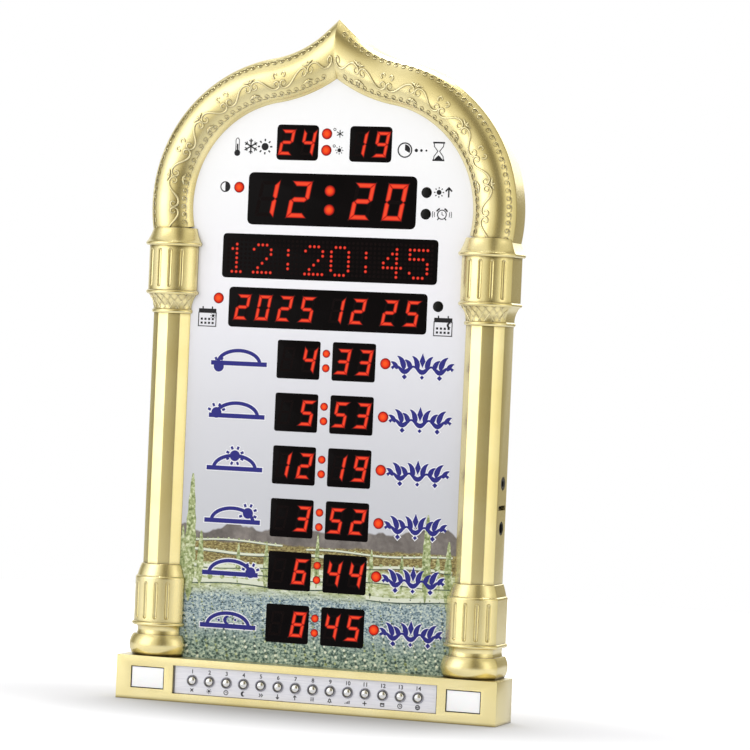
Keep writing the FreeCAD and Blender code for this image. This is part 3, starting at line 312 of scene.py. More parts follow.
# -------------------------------------------------------- mesh helpers
def finish_piece(piece, material, body="clock", stands_for=(), sharp=24.0):
    """Places a finished mesh object in the clock: its finish, its edges and its body."""
    mesh = piece.data
    mesh.materials.clear()
    mesh.materials.append(material)
    mesh.shade_smooth()
    mesh.set_sharp_from_angle(angle=math.radians(sharp))
    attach(piece, body)
    if stands_for:
        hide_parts(*stands_for)
    return piece


def mesh_object(name, points, faces, glow=None):
    """An object from points in millimetres and faces, with its faces turned outwards."""
    mesh = bpy.data.meshes.new(name)
    mesh.from_pydata([tuple(c * mm for c in point) for point in points], [], faces)
    if glow and max(glow) > 0:
        mesh.attributes.new("glow", "FLOAT", "POINT").data.foreach_set("value", glow)
    form = bmesh.new()
    form.from_mesh(mesh)
    bmesh.ops.remove_doubles(form, verts=form.verts, dist=0.004 * mm)
    bmesh.ops.dissolve_degenerate(form, edges=form.edges, dist=0.002 * mm)
    bmesh.ops.recalc_face_normals(form, faces=form.faces)
    form.to_mesh(mesh)
    form.free()
    return linked(name, mesh)


class Form:
    """Points and faces gathered for one mesh."""

    def __init__(self):
        self.points = []
        self.faces = []
        self.glow = []

    def loft(self, rings, ends=True, glow=None):
        """Closed rings of equal length, joined one to the next, with a face on each end."""
        start = len(self.points)
        count = len(rings[0])
        for i, ring in enumerate(rings):
            self.points.extend(tuple(point) for point in ring)
            self.glow.extend([glow[i] if glow else 0.0] * count)
        for row in range(len(rings) - 1):
            low = start + row * count
            for i in range(count):
                j = (i + 1) % count
                self.faces.append((low + i, low + j, low + count + j, low + count + i))
        if ends:
            self.faces.append(tuple(range(start, start + count)))
            last = start + (len(rings) - 1) * count
            self.faces.append(tuple(range(last, last + count)))

    def object(self, name):
        """The mesh made of what was gathered."""
        return mesh_object(name, self.points, self.faces, self.glow)


def rounded(corners, radius, steps=3):
    """A closed outline with its corners rounded; a corner may carry its own radius."""
    result = []
    count = len(corners)
    for i in range(count):
        here = np.array(corners[i][:2], float)
        size = corners[i][2] if len(corners[i]) > 2 else radius
        before = np.array(corners[i - 1][:2], float) - here
        after = np.array(corners[(i + 1) % count][:2], float) - here
        if size <= 0:
            result.append(tuple(here))
            continue
        first = here + before / np.linalg.norm(before) * size
        last = here + after / np.linalg.norm(after) * size
        for k in range(steps + 1):
            t = k / steps
            point = first * (1 - t) ** 2 + here * 2 * t * (1 - t) + last * t ** 2
            result.append(tuple(point))
    return result


def swell(start, end, rise, steps):
    """Points after start, up to end, on an arc that bulges outwards by its rise."""
    (x0, z0), (x1, z1) = start, end
    chord = math.hypot(x1 - x0, z1 - z0)
    out = ((z1 - z0) / chord, -(x1 - x0) / chord)
    points = []
    for i in range(1, steps + 1):
        t = i / steps
        lift = rise * (1.0 - (2.0 * t - 1.0) ** 2)
        points.append((x0 + (x1 - x0) * t + out[0] * lift, z0 + (z1 - z0) * t + out[1] * lift))
    return points


# -------------------------------------------------------- the arch band
def band_path():
    """Distances along the band's middle, from its foot to the mitre."""
    large = band_middle * (turn_angle - foot_angle)
    last = math.acos(hollow_centre[0] / hollow_middle)
    small = hollow_middle * (turn_angle - last)
    return large, small


large_run, hollow_run = band_path()
band_run = large_run + hollow_run


def band_point(side, along, across, lift=0.0):
    """A point on the band: along from the foot, across from the crest, and lifted off it."""
    theta = across / band_radius
    out = (band_radius + lift) * math.sin(theta)
    y = band_axis_y - (band_radius + lift) * math.cos(theta)
    return flat_band_point(side, along, out, y)


def flat_band_point(side, along, out, y):
    """A point of the band by its distance along, its offset outwards and its depth."""
    if along <= large_run:
        angle = foot_angle + along / band_middle
        x = arc_centre[0] + (band_middle + out) * math.cos(angle)
        z = arc_centre[1] + (band_middle + out) * math.sin(angle)
    else:
        radius = hollow_middle - out
        last = math.acos(hollow_centre[0] / radius)
        share = (along - large_run) / hollow_run
        angle = turn_angle + (last - turn_angle) * share
        x = hollow_centre[0] - radius * math.cos(angle)
        z = hollow_centre[1] - radius * math.sin(angle)
        if angle < tip_angle:
            x0 = hollow_centre[0] - radius * math.cos(tip_angle)
            z0 = hollow_centre[1] - radius * math.sin(tip_angle)
            z = z0 + (x0 - x) * math.tan(tip_slope)
    return side * x, y, z


def lip_edge(along):
    """Offset of the wall's inner edge at the back, where a lip reaches in to the cover's side."""
    inner = band_half - wall
    if along > large_run:
        return inner
    angle = foot_angle + along / band_middle
    return min(inner, (side_x - wall - arc_centre[0]) / math.cos(angle) - band_middle)


def band_ring(side, along):
    """One section of the arch: rounded front, outer wall to the back, lip and underside."""
    edge = band_radius * crease
    ring = [band_point(side, along, across)
            for across in np.linspace(-edge + 0.5, edge - 0.5, 55)]
    corner_y = band_axis_y - band_radius * math.cos(crease)
    for share in (0.3, 0.65, 1.0):
        ring.append(flat_band_point(side, along, band_half - 0.16 * (1 - share) ** 2,
                                    corner_y - 0.3 + 0.9 * share))
    lip, inner, rear_y = lip_edge(along), band_half - wall, back_y - plane_gap
    for out, y in ((band_half, back_y - 0.4), (band_half - 0.4, rear_y), (lip, rear_y),
                   (lip, back_y - lip_depth), (inner, back_y - lip_depth),
                   (inner, inside_panel), (-band_half, inside_panel),
                   (-band_half, corner_y - 0.05)):
        ring.append(flat_band_point(side, along, out, y))
    return ring


def make_arch():
    """The pointed arch: one band, up from the left foot to the point and down to the right."""
    steps = list(np.linspace(0.0, large_run, 90))
    steps += list(np.linspace(large_run, band_run, 36)[1:])
    rings = [band_ring(-1, along) for along in steps]
    rings += [band_ring(1, along) for along in reversed(steps[:-1])]
    form = Form()
    form.loft(rings)
    return finish_piece(form.object("arch_band"), gold, stands_for=["front_frame"])


# -------------------------------------------------------- columns
def flute_sink(theta, z, half, ends):
    """How deep the nearest groove is here, on a drum with the given half width."""
    radius = half / half_sine
    depth = 0.0
    for angle in flute_angles:
        aside = radius * math.radians(theta - angle)
        low, high = ends
        beyond = max(low + flute_half - z, z - high + flute_half, 0.0)
        reach = math.hypot(aside, beyond) / flute_half
        if reach < 1.0:
            depth = max(depth, flute_depth * (1.0 - reach ** 2) ** 0.6)
    return depth


def turned_ring(half, z, ends=None):
    """A section of a turned part: rounded front, flat sides, and the hollow behind."""
    radius = half / half_sine
    ring = []
    for theta in theta_samples:
        sink = flute_sink(theta, z, half, ends) if ends else 0.0
        angle = math.radians(theta)
        ring.append(((radius - sink) * math.sin(angle),
                     column_axis_y - (radius - sink) * math.cos(angle), z))
    corner_y = column_axis_y - radius * math.cos(crease)
    side_y = corner_y + 0.5 if half > shaft_half + 0.1 else panel_y - 0.01
    ring += [(half - 0.04, corner_y - 0.05, z), (half, corner_y + 0.5, z),
             (half, back_y - 0.4, z), (half - 0.4, back_y, z), (column_inner, back_y, z),
             (column_inner, inside_panel, z), (-half, inside_panel, z), (-half, side_y, z),
             (-half + 0.04, corner_y - 0.05, z)]
    return ring


def groove_samples():
    """Angles round a rounded front, closer together across each groove."""
    samples = set(np.linspace(-58.5, 58.5, 53))
    for angle in flute_angles:
        samples |= set(np.linspace(angle - 4.9, angle + 4.9, 17))
    kept = []
    for value in sorted(samples):
        if not kept or value - kept[-1] > 0.35:
            kept.append(value)
    return kept


theta_samples = groove_samples()


def drum_levels(low, high):
    """Heights through a drum, close together at the grooves' rounded ends."""
    first, last = low + 1.6, high - 1.6
    levels = [low, low + 0.8]
    levels += list(np.linspace(first - 0.1, first + flute_half + 0.2, 9))
    levels += list(np.linspace(first + flute_half + 2.5, last - flute_half - 2.5, 5))
    levels += list(np.linspace(last - flute_half - 0.2, last + 0.1, 9))
    levels += [high - 0.8, high]
    return levels, (first, last)


def turned_part(form, profile, drum):
    """Lofts a profile of half widths and heights; the drum between its two heights is grooved."""
    rings = []
    levels, ends = drum_levels(*drum)
    done = False
    for half, z in profile:
        if drum[0] - 1e-6 <= z <= drum[1] + 1e-6 and abs(half - drum_half) < 1e-6:
            if not done:
                rings += [turned_ring(drum_half, height, ends) for height in levels]
                done = True
            continue
        rings.append(turned_ring(half, z))
    form.loft(rings)


def plinth_profile():
    """The plinth upwards: a bulb, a hollow, a bead, the grooved drum and a sloping shoulder."""
    points = [(drum_half, base_height - 0.05), (drum_half, base_height)]
    points += swell(points[-1], (drum_half, 36.0), 1.7, 16)
    points += [(12.95, 36.0)]
    points += swell(points[-1], (12.95, 40.9), -0.45, 8)
    points += [(14.75, 40.9)]
    points += swell(points[-1], (14.75, 43.2), 0.7, 8)
    points += [(drum_half, plinth_drum[0]), (drum_half, plinth_drum[1])]
    points += swell(points[-1], (13.7, 68.8), 0.28, 5)
    points += swell(points[-1], (11.9, 75.2), 0.1, 4)
    points += [(11.6, plinth_top), (10.6, plinth_top)]
    return points


def capital_profile():
    """The capital upwards: a bead, a hollow neck, a bead, the grooved drum and a cap."""
    points = [(10.6, capital_bottom), (11.6, capital_bottom)]
    points += swell(points[-1], (11.6, 218.2), 0.55, 8)
    points += [neck_foot]
    points += swell(points[-1], neck_head, neck_hollow, 12)
    points += [(14.75, 226.4)]
    points += swell(points[-1], (14.75, 228.7), 0.7, 8)
    points += [(drum_half, capital_drum[0]), (drum_half, capital_drum[1])]
    points += [(15.7, capital_drum[1])]
    points += swell(points[-1], (15.7, 256.0), 0.7, 8)
    points += swell(points[-1], (13.1, 263.0), -0.25, 6)
    points += [(12.9, 263.45), (12.5, 263.5), (0.2, 263.5)]
    return points


def shaft_outline():
    """The faceted shaft's section: four facets in front, flat sides, open at the back."""
    radius, rear_y = shaft_half / half_sine, back_y - plane_gap

    def corner(theta, reach, rounding):
        """A corner at an angle round the axis, with the radius it is rounded by."""
        angle = math.radians(theta)
        return reach * math.sin(angle), column_axis_y - reach * math.cos(angle), rounding

    corners = [(-shaft_half, inside_panel, 0)]
    corners += [corner(theta, radius, 0.45) for theta in (-60, -30, 0, 30, 60)]
    corners += [(shaft_half, rear_y, 0.4), (column_inner, rear_y, 0), (column_inner, 0.6, 1.0)]
    corners += [corner(theta, radius - wall, 0.5) for theta in (30, 0, -30)]
    corners += [(-9.0, inside_panel, 0)]
    return rounded(corners, 0.4)


def cut(piece, cutters):
    """Takes the cutters' shapes out of a piece, and removes them."""
    for cutter in cutters:
        modifier = piece.modifiers.new("cut", "BOOLEAN")
        modifier.operation = "DIFFERENCE"
        modifier.solver = "EXACT"
        modifier.object = cutter
    made = evaluated(piece)
    piece.modifiers.clear()
    piece.data = made
    for cutter in cutters:
        bpy.data.objects.remove(cutter)


def evaluated(piece):
    """A plain mesh of what an object's modifiers make."""
    bpy.context.view_layer.update()
    graph = bpy.context.evaluated_depsgraph_get()
    return bpy.data.meshes.new_from_object(piece.evaluated_get(graph), depsgraph=graph)


def bar(name, outline, start, end, axis="z"):
    """An outline pulled along an axis, as an object of its own."""
    turns = {"x": (2, 0, 1), "y": (0, 2, 1), "z": (0, 1, 2)}[axis]
    form = Form()
    form.loft([[tuple((a, b, along)[k] for k in turns) for a, b in outline]
               for along in (start, end)])
    return form.object(name)


def circle(cx, cz, radius, count=40):
    """A round outline."""
    return [(cx + radius * math.cos(2 * math.pi * i / count),
             cz + radius * math.sin(2 * math.pi * i / count)) for i in range(count)]


def make_columns():
    """Both columns: turned plinth and capital, and a faceted shaft, bored for the sockets."""
    for side, name in ((-1, "left_column"), (1, "right_column")):
        form = Form()
        turned_part(form, plinth_profile(), plinth_drum)
        turned_part(form, capital_profile(), capital_drum)
        points = [(side * (column_x + x), y, z) for x, y, z in form.points]
        turned = mesh_object(name, points, form.faces)
        finish_piece(turned, gold, stands_for=["front_frame"])
        outline = [(side * (column_x + x), y) for x, y in shaft_outline()]
        shaft = bar(name + "_shaft", outline, plinth_top - 1.5, capital_bottom + 1.5)
        if side > 0:
            slot = rounded(box_outline(0.4, 12.6, 115.9, 118.5), 0.6)
            cut(shaft, [bar("hole", outline, side_x - 4, side_x + 2, "x")
                        for outline in (circle(socket_y, audio_z, 3.75), slot,
                                        circle(socket_y, power_z, 3.75))])
        finish_piece(shaft, gold, stands_for=["front_frame"])


# -------------------------------------------------------- base
def box_outline(x0, x1, z0, z1):
    """A rectangle, from its sides."""
    return [(x0, z0), (x1, z0), (x1, z1), (x0, z1)]


def make_base():
    """The hollow base, with beds for the strip and the end windows and a hole for each button."""
    base = bar("base_case", box_outline(-half_width, half_width, 0, base_height),
               front_y, back_y, "y")
    inner, before = half_width - wall, front_y - 1.5
    cutters = [bar("inside", box_outline(-inner, inner, wall, base_height - wall),
                   -10.1, back_y + 1.5, "y"),
               bar("strip_bed", box_outline(-77.25, 77.25, 4.65, 20.25), before, -11.88, "y")]
    for x in (-end_window_x, end_window_x):
        cutters.append(bar("window_bed", box_outline(x - 9.95, x + 9.95, 6.35, 18.55),
                           before, -12.48, "y"))
    for x in button_xs:
        cutters.append(bar("button_hole", circle(x, key_row_z, 3.35, 24), -13, -9, "y"))
    cut(base, cutters)
    edges = base.modifiers.new("edges", "BEVEL")
    edges.width = 0.35 * mm
    edges.segments = 3
    edges.limit_method = "ANGLE"
    edges.angle_limit = math.radians(40)
    edges.harden_normals = False
    base.data = evaluated(base)
    base.modifiers.clear()
    finish_piece(base, gold, stands_for=["front_frame"], sharp=30)


# -------------------------------------------------------- geometry trees
def new_tree(name, inputs):
    """A geometry tree with a named input for each size; returns it and what its inputs give."""
    tree = bpy.data.node_groups.new(name, "GeometryNodeTree")
    tree.interface.new_socket("Geometry", in_out="INPUT", socket_type="NodeSocketGeometry")
    for label, kind in inputs.items():
        tree.interface.new_socket(label, in_out="INPUT", socket_type="NodeSocket" + kind)
    tree.interface.new_socket("Geometry", in_out="OUTPUT", socket_type="NodeSocketGeometry")
    return tree, add(tree, "NodeGroupInput").outputs


def finish_tree(tree, geometry, given):
    """Ends a tree: its copies made real, and its finish set."""
    whole = add(tree, "GeometryNodeRealizeInstances", {"Geometry": geometry})
    painted = add(tree, "GeometryNodeSetMaterial", {"Geometry": whole.outputs[0],
                                                    "Material": given["Finish"]})
    add(tree, "NodeGroupOutput", {0: painted.outputs[0]})
    return tree


def strand_tree():
    """Round strands along paths of edges; each point's own swell makes them thick or fine."""
    tree, given = new_tree("strands", {"Radius": "Float", "Sides": "Int", "Finish": "Material"})
    paths = add(tree, "GeometryNodeMeshToCurve", {"Mesh": given["Geometry"]})
    section = add(tree, "GeometryNodeCurvePrimitiveCircle", {"Resolution": given["Sides"],
                                                             "Radius": given["Radius"]})
    thickness = add(tree, "GeometryNodeInputNamedAttribute", {"Name": "swell"}, data_type="FLOAT")
    strands = add(tree, "GeometryNodeCurveToMesh", {
        "Curve": paths.outputs[0], "Profile Curve": section.outputs[0],
        "Scale": thickness.outputs[0], "Fill Caps": True})
    return finish_tree(tree, strands.outputs[0], given)


def repeat_tree():
    """One small shape set on every point."""
    tree, given = new_tree("repeats", {"Shape": "Object", "Size": "Float", "Finish": "Material"})
    shape = add(tree, "GeometryNodeObjectInfo", {"Object": given["Shape"]})
    placed = add(tree, "GeometryNodeInstanceOnPoints", {
        "Points": given["Geometry"], "Instance": shape.outputs["Geometry"],
        "Scale": given["Size"]})
    return finish_tree(tree, placed.outputs[0], given)


def grown(name, tree, points, edges, inputs, swells=None):
    """Runs a tree on bare points or paths, and keeps what it makes as a plain mesh."""
    mesh = bpy.data.meshes.new(name)
    mesh.from_pydata([tuple(c * mm for c in point) for point in points], edges, [])
    if swells is not None:
        mesh.attributes.new("swell", "FLOAT", "POINT").data.foreach_set("value", swells)
    piece = linked(name, mesh)
    modifier = piece.modifiers.new("grow", "NODES")
    modifier.node_group = tree
    for item in tree.interface.items_tree:
        if item.in_out == "INPUT" and item.name in inputs:
            modifier[item.identifier] = inputs[item.name]
    made = evaluated(piece)
    piece.modifiers.clear()
    piece.data = made
    return piece


class Strands:
    """Paths gathered for one ornament, with a thickness at each point."""

    def __init__(self):
        self.points, self.edges, self.swells = [], [], []

    def add(self, path, swells=1.0):
        """Adds a path, with one thickness or a thickness at each point."""
        start = len(self.points)
        self.points.extend(path)
        self.swells.extend(np.broadcast_to(swells, len(path)).tolist())
        self.edges.extend((start + i, start + i + 1) for i in range(len(path) - 1))

    def grow(self, name, material, radius, sides):
        """Round strands of the given radius along all the paths."""
        piece = grown(name, strands, self.points, self.edges,
                      {"Radius": radius * mm, "Sides": sides, "Finish": material}, self.swells)
        return finish_piece(piece, material, sharp=60)


def repeated(name, shape, points, material, stands_for=(), sharp=30.0):
    """Copies of a shape, which is drawn round the origin, at each point."""
    piece = grown(name, repeats, points, [], {"Shape": shape, "Size": 1.0, "Finish": material})
    bpy.data.objects.remove(shape)
    return finish_piece(piece, material, stands_for=stands_for, sharp=sharp)


def revolve(form, centre, profile, count=32, axis="y", closed=False, glow=None):
    """Turns a profile of (radius, depth) round an axis; its ends are closed, or it is a ring."""
    rings = []
    for radius, depth in profile:
        ring = []
        for i in range(count):
            angle = 2 * math.pi * i / count
            a, b = centre[0] + radius * math.cos(angle), centre[1] + radius * math.sin(angle)
            ring.append((a, depth, b) if axis == "y" else (depth, a, b))
        rings.append(ring)
    if closed:
        rings.append(rings[0])
    form.loft(rings, ends=not closed, glow=glow)


# -------------------------------------------------------- ornament on the arch
def reach_at(across):
    """Real distance from the foot along a line of the band, against its middle's distance."""
    middle = np.linspace(0.0, band_run, 240)
    line = np.array([band_point(1, along, across) for along in middle])
    steps = np.linalg.norm(np.diff(line, axis=0), axis=1)
    return middle, np.concatenate([[0.0], np.cumsum(steps)])


def spiral_wave():
    """One curl of a running-wave border: a tail along the base, then a turn inwards."""
    path = [(-2.5, -1.1), (-1.7, -1.42), (-0.8, -1.5)]
    for k in range(17):
        angle = math.radians(-90.0 + 410.0 * k / 16)
        radius = 1.5 * (1.0 - 0.62 * k / 16)
        path.append((radius * math.cos(angle), radius * math.sin(angle)))
    return path


def make_borders():
    """Running waves along the two edges of the arch band."""
    work = Strands()
    curl = spiral_wave()
    swells = np.concatenate([[0.5, 0.8], np.linspace(1.0, 0.75, len(curl) - 2)])
    for across, turn in ((-9.1, 1), (9.9, -1)):
        middle, reach = reach_at(across)
        count = int((reach[-1] - 3.2) / border_pitch)
        for side in (-1, 1):
            for i in range(count):
                start = 3.0 + border_pitch * i
                path = []
                for s, t in curl:
                    along = np.interp(start + s, reach, middle)
                    path.append(band_point(side, along, across + turn * t, 0.15))
                work.add(path, swells)
    return work.grow("arch_border_waves", gold_relief_painted_lighter, 0.26, 6)


def scroll_curve(count=57):
    """An S-scroll, point by point: straight in the middle and curled up at both ends."""
    t = np.linspace(-1.0, 1.0, count)
    heading = np.radians(46.0 - 400.0 * np.abs(t) ** 2.2)
    along = np.concatenate([[0.0], np.cumsum(np.cos(heading[1:]) + np.cos(heading[:-1]))])
    aside = np.concatenate([[0.0], np.cumsum(np.sin(heading[1:]) + np.sin(heading[:-1]))])
    along, aside = along - along[count // 2], aside - aside[count // 2]
    scale = 16.4 / (along.max() - along.min())
    return along * scale, aside * scale, 0.5 + 0.5 * (1.0 - t ** 4)


def make_vine():
    """Linked S-scrolls along the crest of the band, with leaves beside and hooks between them."""
    work = Strands()
    along, aside, swells = scroll_curve()
    middle, reach = reach_at(vine_across)
    leaf = np.linspace(0.0, 1.0, 9)

    def put(side, distance, across, lift=0.12):
        """A point of the band, by its distance down from the tip."""
        return band_point(side, np.interp(reach[-1] - distance, reach, middle), across, lift)

    for side in (-1, 1):
        for i in range(scroll_count):
            centre = 9.6 + scroll_pitch * i
            way = 1 if i % 2 == 0 else -1
            work.add([put(side, centre + way * a, vine_across + b)
                      for a, b in zip(along, aside)], swells)
            edge = centre + way * scroll_pitch / 2.0
            if edge > reach[-1] - 4.0:
                continue
            for lean in (-1, 0, 1):
                tall = 2.2 - 0.8 * abs(lean)
                work.add([put(side, edge + lean * (1.2 * u + 2.2 * u ** 2),
                              vine_across + way * (3.5 + tall * u)) for u in leaf],
                         0.25 + 0.95 * np.sin(math.pi * leaf ** 0.8))
            inner = centre - way * scroll_pitch / 2.0
            if way < 0 or inner <= 3.0:
                continue
            for turn in (-1, 1):
                hook = []
                for k in range(11):
                    angle = math.radians(-70.0 + 26.0 * k)
                    radius = 1.6 * (1.0 - 0.055 * k)
                    hook.append(put(side, inner + turn * (2.1 + radius * math.cos(angle)),
                                    vine_across + 4.3 + radius * math.sin(angle)))
                work.add(hook, np.linspace(1.0, 0.5, 11))
    return work.grow("arch_vine_scrolls", gold_relief_painted_lighter, 0.52, 8)


def make_lattice():
    """Crossing strands on the hollow necks of both capitals."""
    work = Strands()
    neck = [neck_foot] + swell(neck_foot, neck_head, neck_hollow, 10)
    for side in (-1, 1):
        for lean in (-1, 1):
            for start in np.arange(-96.2, 96.3, 16.2):
                path = []
                for k, (half, z) in enumerate(neck):
                    theta = math.radians(start + lean * 2.4 * (k - 5))
                    if abs(theta) < math.radians(58.0):
                        radius = half / half_sine + 0.04
                        path.append((side * (column_x + radius * math.sin(theta)),
                                     column_axis_y - radius * math.cos(theta), z))
                if len(path) > 2:
                    work.add(path)
    return work.grow("capital_lattice", gold_relief_painted_lighter, 0.27, 6)


# -------------------------------------------------------- displays
def offset(outline, distance):
    """A convex outline moved outwards by a distance."""
    points = np.array(outline, float)
    middle = points.mean(axis=0)
    result = []
    for i in range(len(points)):
        before, here, after = points[i - 1], points[i], points[(i + 1) % len(points)]
        normals = []
        for a, b in ((before, here), (here, after)):
            normal = np.array([b[1] - a[1], a[0] - b[0]]) / np.linalg.norm(b - a)
            normals.append(normal if np.dot(normal, a - middle) > 0 else -normal)
        both = normals[0] + normals[1]
        result.append(tuple(here + both * distance * 2.0 / np.dot(both, both)))
    return result


def level(outline, y):
    """An outline of the front view, laid at a depth."""
    return [(x, y, z) for x, z in outline]


def make_windows():
    """Smoked stretches of the face over each display, with a polished edge."""
    form = Form()
    for x, z, width, height, radius in windows:
        corners = box_outline(x - width / 2, x + width / 2, z - height / 2, z + height / 2)
        outline = rounded(corners, radius, 6)
        form.loft([level(offset(outline, out), y) for out, y in (
            (0.12, -0.02), (0.12, -2.06), (0.04, -2.12), (-0.1, -2.14))])
    return finish_piece(form.object("display_window_plates"), smoked_window(),
                        stands_for=["display_windows"])


def segment_shapes(width, height, stroke, gap):
    """The seven bars of a digit, mitred where they meet, round the digit's middle."""
    w, h, t, g = width / 2, height / 2, stroke, gap
    top = [(-w + g, h), (w - g, h), (w - t - g, h - t), (-w + t + g, h - t)]
    right = [(w, h - g), (w, 0.3 * t + g), (w - 0.35 * t, g), (w - t, 0.6 * t + g),
             (w - t, h - t - g)]
    middle = [(-w + t + g, t / 2), (w - t - g, t / 2), (w - t / 2 - g, 0),
              (w - t - g, -t / 2), (-w + t + g, -t / 2), (-w + t / 2 + g, 0)]
    return {"a": top, "b": right, "c": [(x, -z) for x, z in right],
            "d": [(x, -z) for x, z in top], "e": [(-x, -z) for x, z in right],
            "f": [(-x, z) for x, z in right], "g": middle}


def make_digits():
    """Slanted seven-bar digits: lit bars with a bright core and a red bleed, and unlit ones."""
    lit, dark = Form(), Form()
    root, rim, shoulder, crown, unlit_front = -2.1, -2.15, -2.19, -2.22, -2.147
    for text, places, z, sizes in digit_rows:
        core = 0.3 * sizes[2]
        for mark, x in zip(text, places):
            for name, outline in segment_shapes(*sizes).items():
                slanted = [(x + px + pz * slant, z + pz) for px, pz in outline]
                if name in lit_bars[mark]:
                    bleed = offset(slanted, 0.65)
                    lit.loft([level(bleed, root), level(bleed, rim), level(slanted, shoulder),
                              level(offset(slanted, -core), crown)], glow=[0.0, 0.0, 0.5, 1.0])
                else:
                    dark.loft([level(slanted, root), level(slanted, unlit_front)])
    finish_piece(lit.object("lit_digit_bars"), led_glow("led_digit_glow", "#F84A2A"))
    finish_piece(dark.object("unlit_digit_bars"), unlit_bar())


def dome(radius, base_y, rise, glow_from=0.24):
    """A lamp's round lens as an object: a barrel, a thin flange and a domed front."""
    form = Form()
    profile = [(0.9 * radius, base_y + 1.2), (0.9 * radius, base_y + 0.05),
               (radius, base_y + 0.04), (radius, base_y)]
    glow = [0.0, 0.0, glow_from, glow_from]
    for share in (0.14, 0.28, 0.45, 0.7, 0.94):
        profile.append((radius * (1.0 - share),
                        base_y - rise * math.sqrt(1.0 - (1.0 - share) ** 2)))
        glow.append(glow_from + (1.0 - glow_from) * min(1.0, 1.3 * share))
    revolve(form, (0, 0), profile, count=10 if radius < 1.2 else 28, glow=glow)
    return form.object("lens")


def make_dots():
    """Six blocks of eight by eight dots; the lit ones spell a plain time of day."""
    lit, dark = [], []
    for column in range(48):
        glyph = dot_glyphs["12:20:45"[column // 6]]
        x = block_pitch * (column // 8 - 2.5) + dot_pitch * (column % 8 - 3.5)
        for row in range(8):
            place = (x, 0.0, dots_z + dot_pitch * (3.5 - row))
            bit = column % 6
            on = row > 0 and bit < 5 and glyph[row - 1] >> (4 - bit) & 1
            (lit if on else dark).append(place)
    repeated("lit_matrix_dots", dome(0.95, -2.13, 0.16), lit, led_glow("led_dot_glow", "#F4503E"))
    repeated("unlit_matrix_dots", dome(0.95, -2.13, 0.03), dark, unlit_bar())


def make_lamps():
    """Round lamps of the face: glowing or dark lenses standing in their holes."""
    lit, dark = led_glow("led_lamp_glow", "#FF5A1E"), dark_lens()
    row_colons = [(0.8, z + step) for z in row_zs for step in (-4.0, 4.0)]
    time_colon = [(-1.2, 286.65), (-1.2, 276.15)]
    for name, lens, places, finish, node in (
            ("lit_status_lamps", (3.05, -2.03, 0.6), lit_lamps, lit, "status_lamps"),
            ("unlit_status_lamps", (3.0, -2.03, 0.6), dark_lamps, dark, "status_lamps"),
            ("row_colon_lamps", (2.25, -2.03, 0.45), row_colons, lit, "colon_lamps"),
            ("time_colon_lamps", (3.15, -2.15, 0.35), time_colon, lit, "colon_lamps")):
        repeated(name, dome(*lens), [(x, 0.0, z) for x, z in places], finish, [node])


# -------------------------------------------------------- printed signs
class Print(Form):
    """Thin printed shapes, whose backs lie in the surface that carries them."""

    def __init__(self, front, back):
        super().__init__()
        self.front, self.back, self.shapes = front, back, 0

    def lie(self):
        """How far forward the next shape lies, so that no two that cross lie in one plane."""
        self.shapes += 1
        return self.front - 0.002 * (self.shapes % 24)

    def plate(self, outline):
        """A filled shape."""
        self.loft([level(outline, self.back), level(outline, self.lie())])

    def disc(self, x, z, radius, count=28):
        """A filled round."""
        self.plate(circle(x, z, radius, count))

    def line(self, path, width, closed=False):
        """A line of the given width, or of a width at each point."""
        points = np.array(path, float)
        widths = np.broadcast_to(width, len(points))
        front, rings = self.lie(), []
        for i, here in enumerate(points):
            before = points[i - 1] if i or closed else here
            after = points[(i + 1) % len(points)] if i < len(points) - 1 or closed else here
            steps = [step / np.linalg.norm(step) for step in (here - before, after - here)
                     if np.linalg.norm(step) > 1e-9]
            way = sum(steps)
            way = way / max(np.linalg.norm(way), 1e-9)
            mitre = 1.0 / max(float(np.dot(way, steps[0])), 0.5)
            out = np.array([-way[1], way[0]]) * widths[i] / 2.0 * mitre
            (left_x, left_z), (right_x, right_z) = here + out, here - out
            rings.append([(left_x, front, left_z), (right_x, front, right_z),
                          (right_x, self.back, right_z), (left_x, self.back, left_z)])
        if closed:
            rings.append(rings[0])
        self.loft(rings, ends=not closed)

    def ring(self, x, z, radius, width):
        """A circle drawn with a line."""
        self.line(circle(x, z, radius, 28), width, closed=True)

    def rays(self, x, z, start, end, width, angles):
        """Straight lines out from a middle, between two distances, at angles in degrees."""
        for degrees in angles:
            angle = math.radians(degrees)
            self.line([(x + start * math.cos(angle), z + start * math.sin(angle)),
                       (x + end * math.cos(angle), z + end * math.sin(angle))], width)

    def sun(self, x, z, size, width):
        """A disc with eight rays."""
        self.disc(x, z, size * 0.48)
        self.rays(x, z, size * 0.7, size, width, range(0, 360, 45))

    def crescent(self, x, z, radius):
        """A moon: an arc that is thick in its middle and comes to a point at both ends."""
        angles = np.radians(np.linspace(60, 300, 25))
        share = 1.0 - ((np.degrees(angles) - 180.0) / 120.0) ** 2
        path = [(x + 0.72 * radius * math.cos(a) + 0.15 * radius, z + 0.8 * radius * math.sin(a))
                for a in angles]
        self.line(path, 0.05 + 0.75 * radius * share)

    def arrow(self, x, z, size, width, up=1):
        """An arrow that points up, or down."""
        self.line([(x, z - up * size), (x, z + up * size * 0.9)], width)
        self.line([(x - 0.7 * size, z + up * 0.25 * size), (x, z + up * size),
                   (x + 0.7 * size, z + up * 0.25 * size)], width)


def arc(x, z, rx, rz, start, end, count=21):
    """Points on an arc of an ellipse, between two angles in degrees."""
    return [(x + rx * math.cos(math.radians(a)), z + rz * math.sin(math.radians(a)))
            for a in np.linspace(start, end, count)]


def thermometer(ink, x, z):
    """A bulb with an open tube above it, and the liquid in the tube."""
    half = [(x - 1.0, z + 0.9), (x - 1.0, z + 7.2), (x - 0.4, z + 8.2)]
    ink.line(half + [(2 * x - a, b) for a, b in reversed(half)], 0.4)
    ink.disc(x, z, 1.75)
    ink.line([(x, z), (x, z + 5.0)], 0.9)


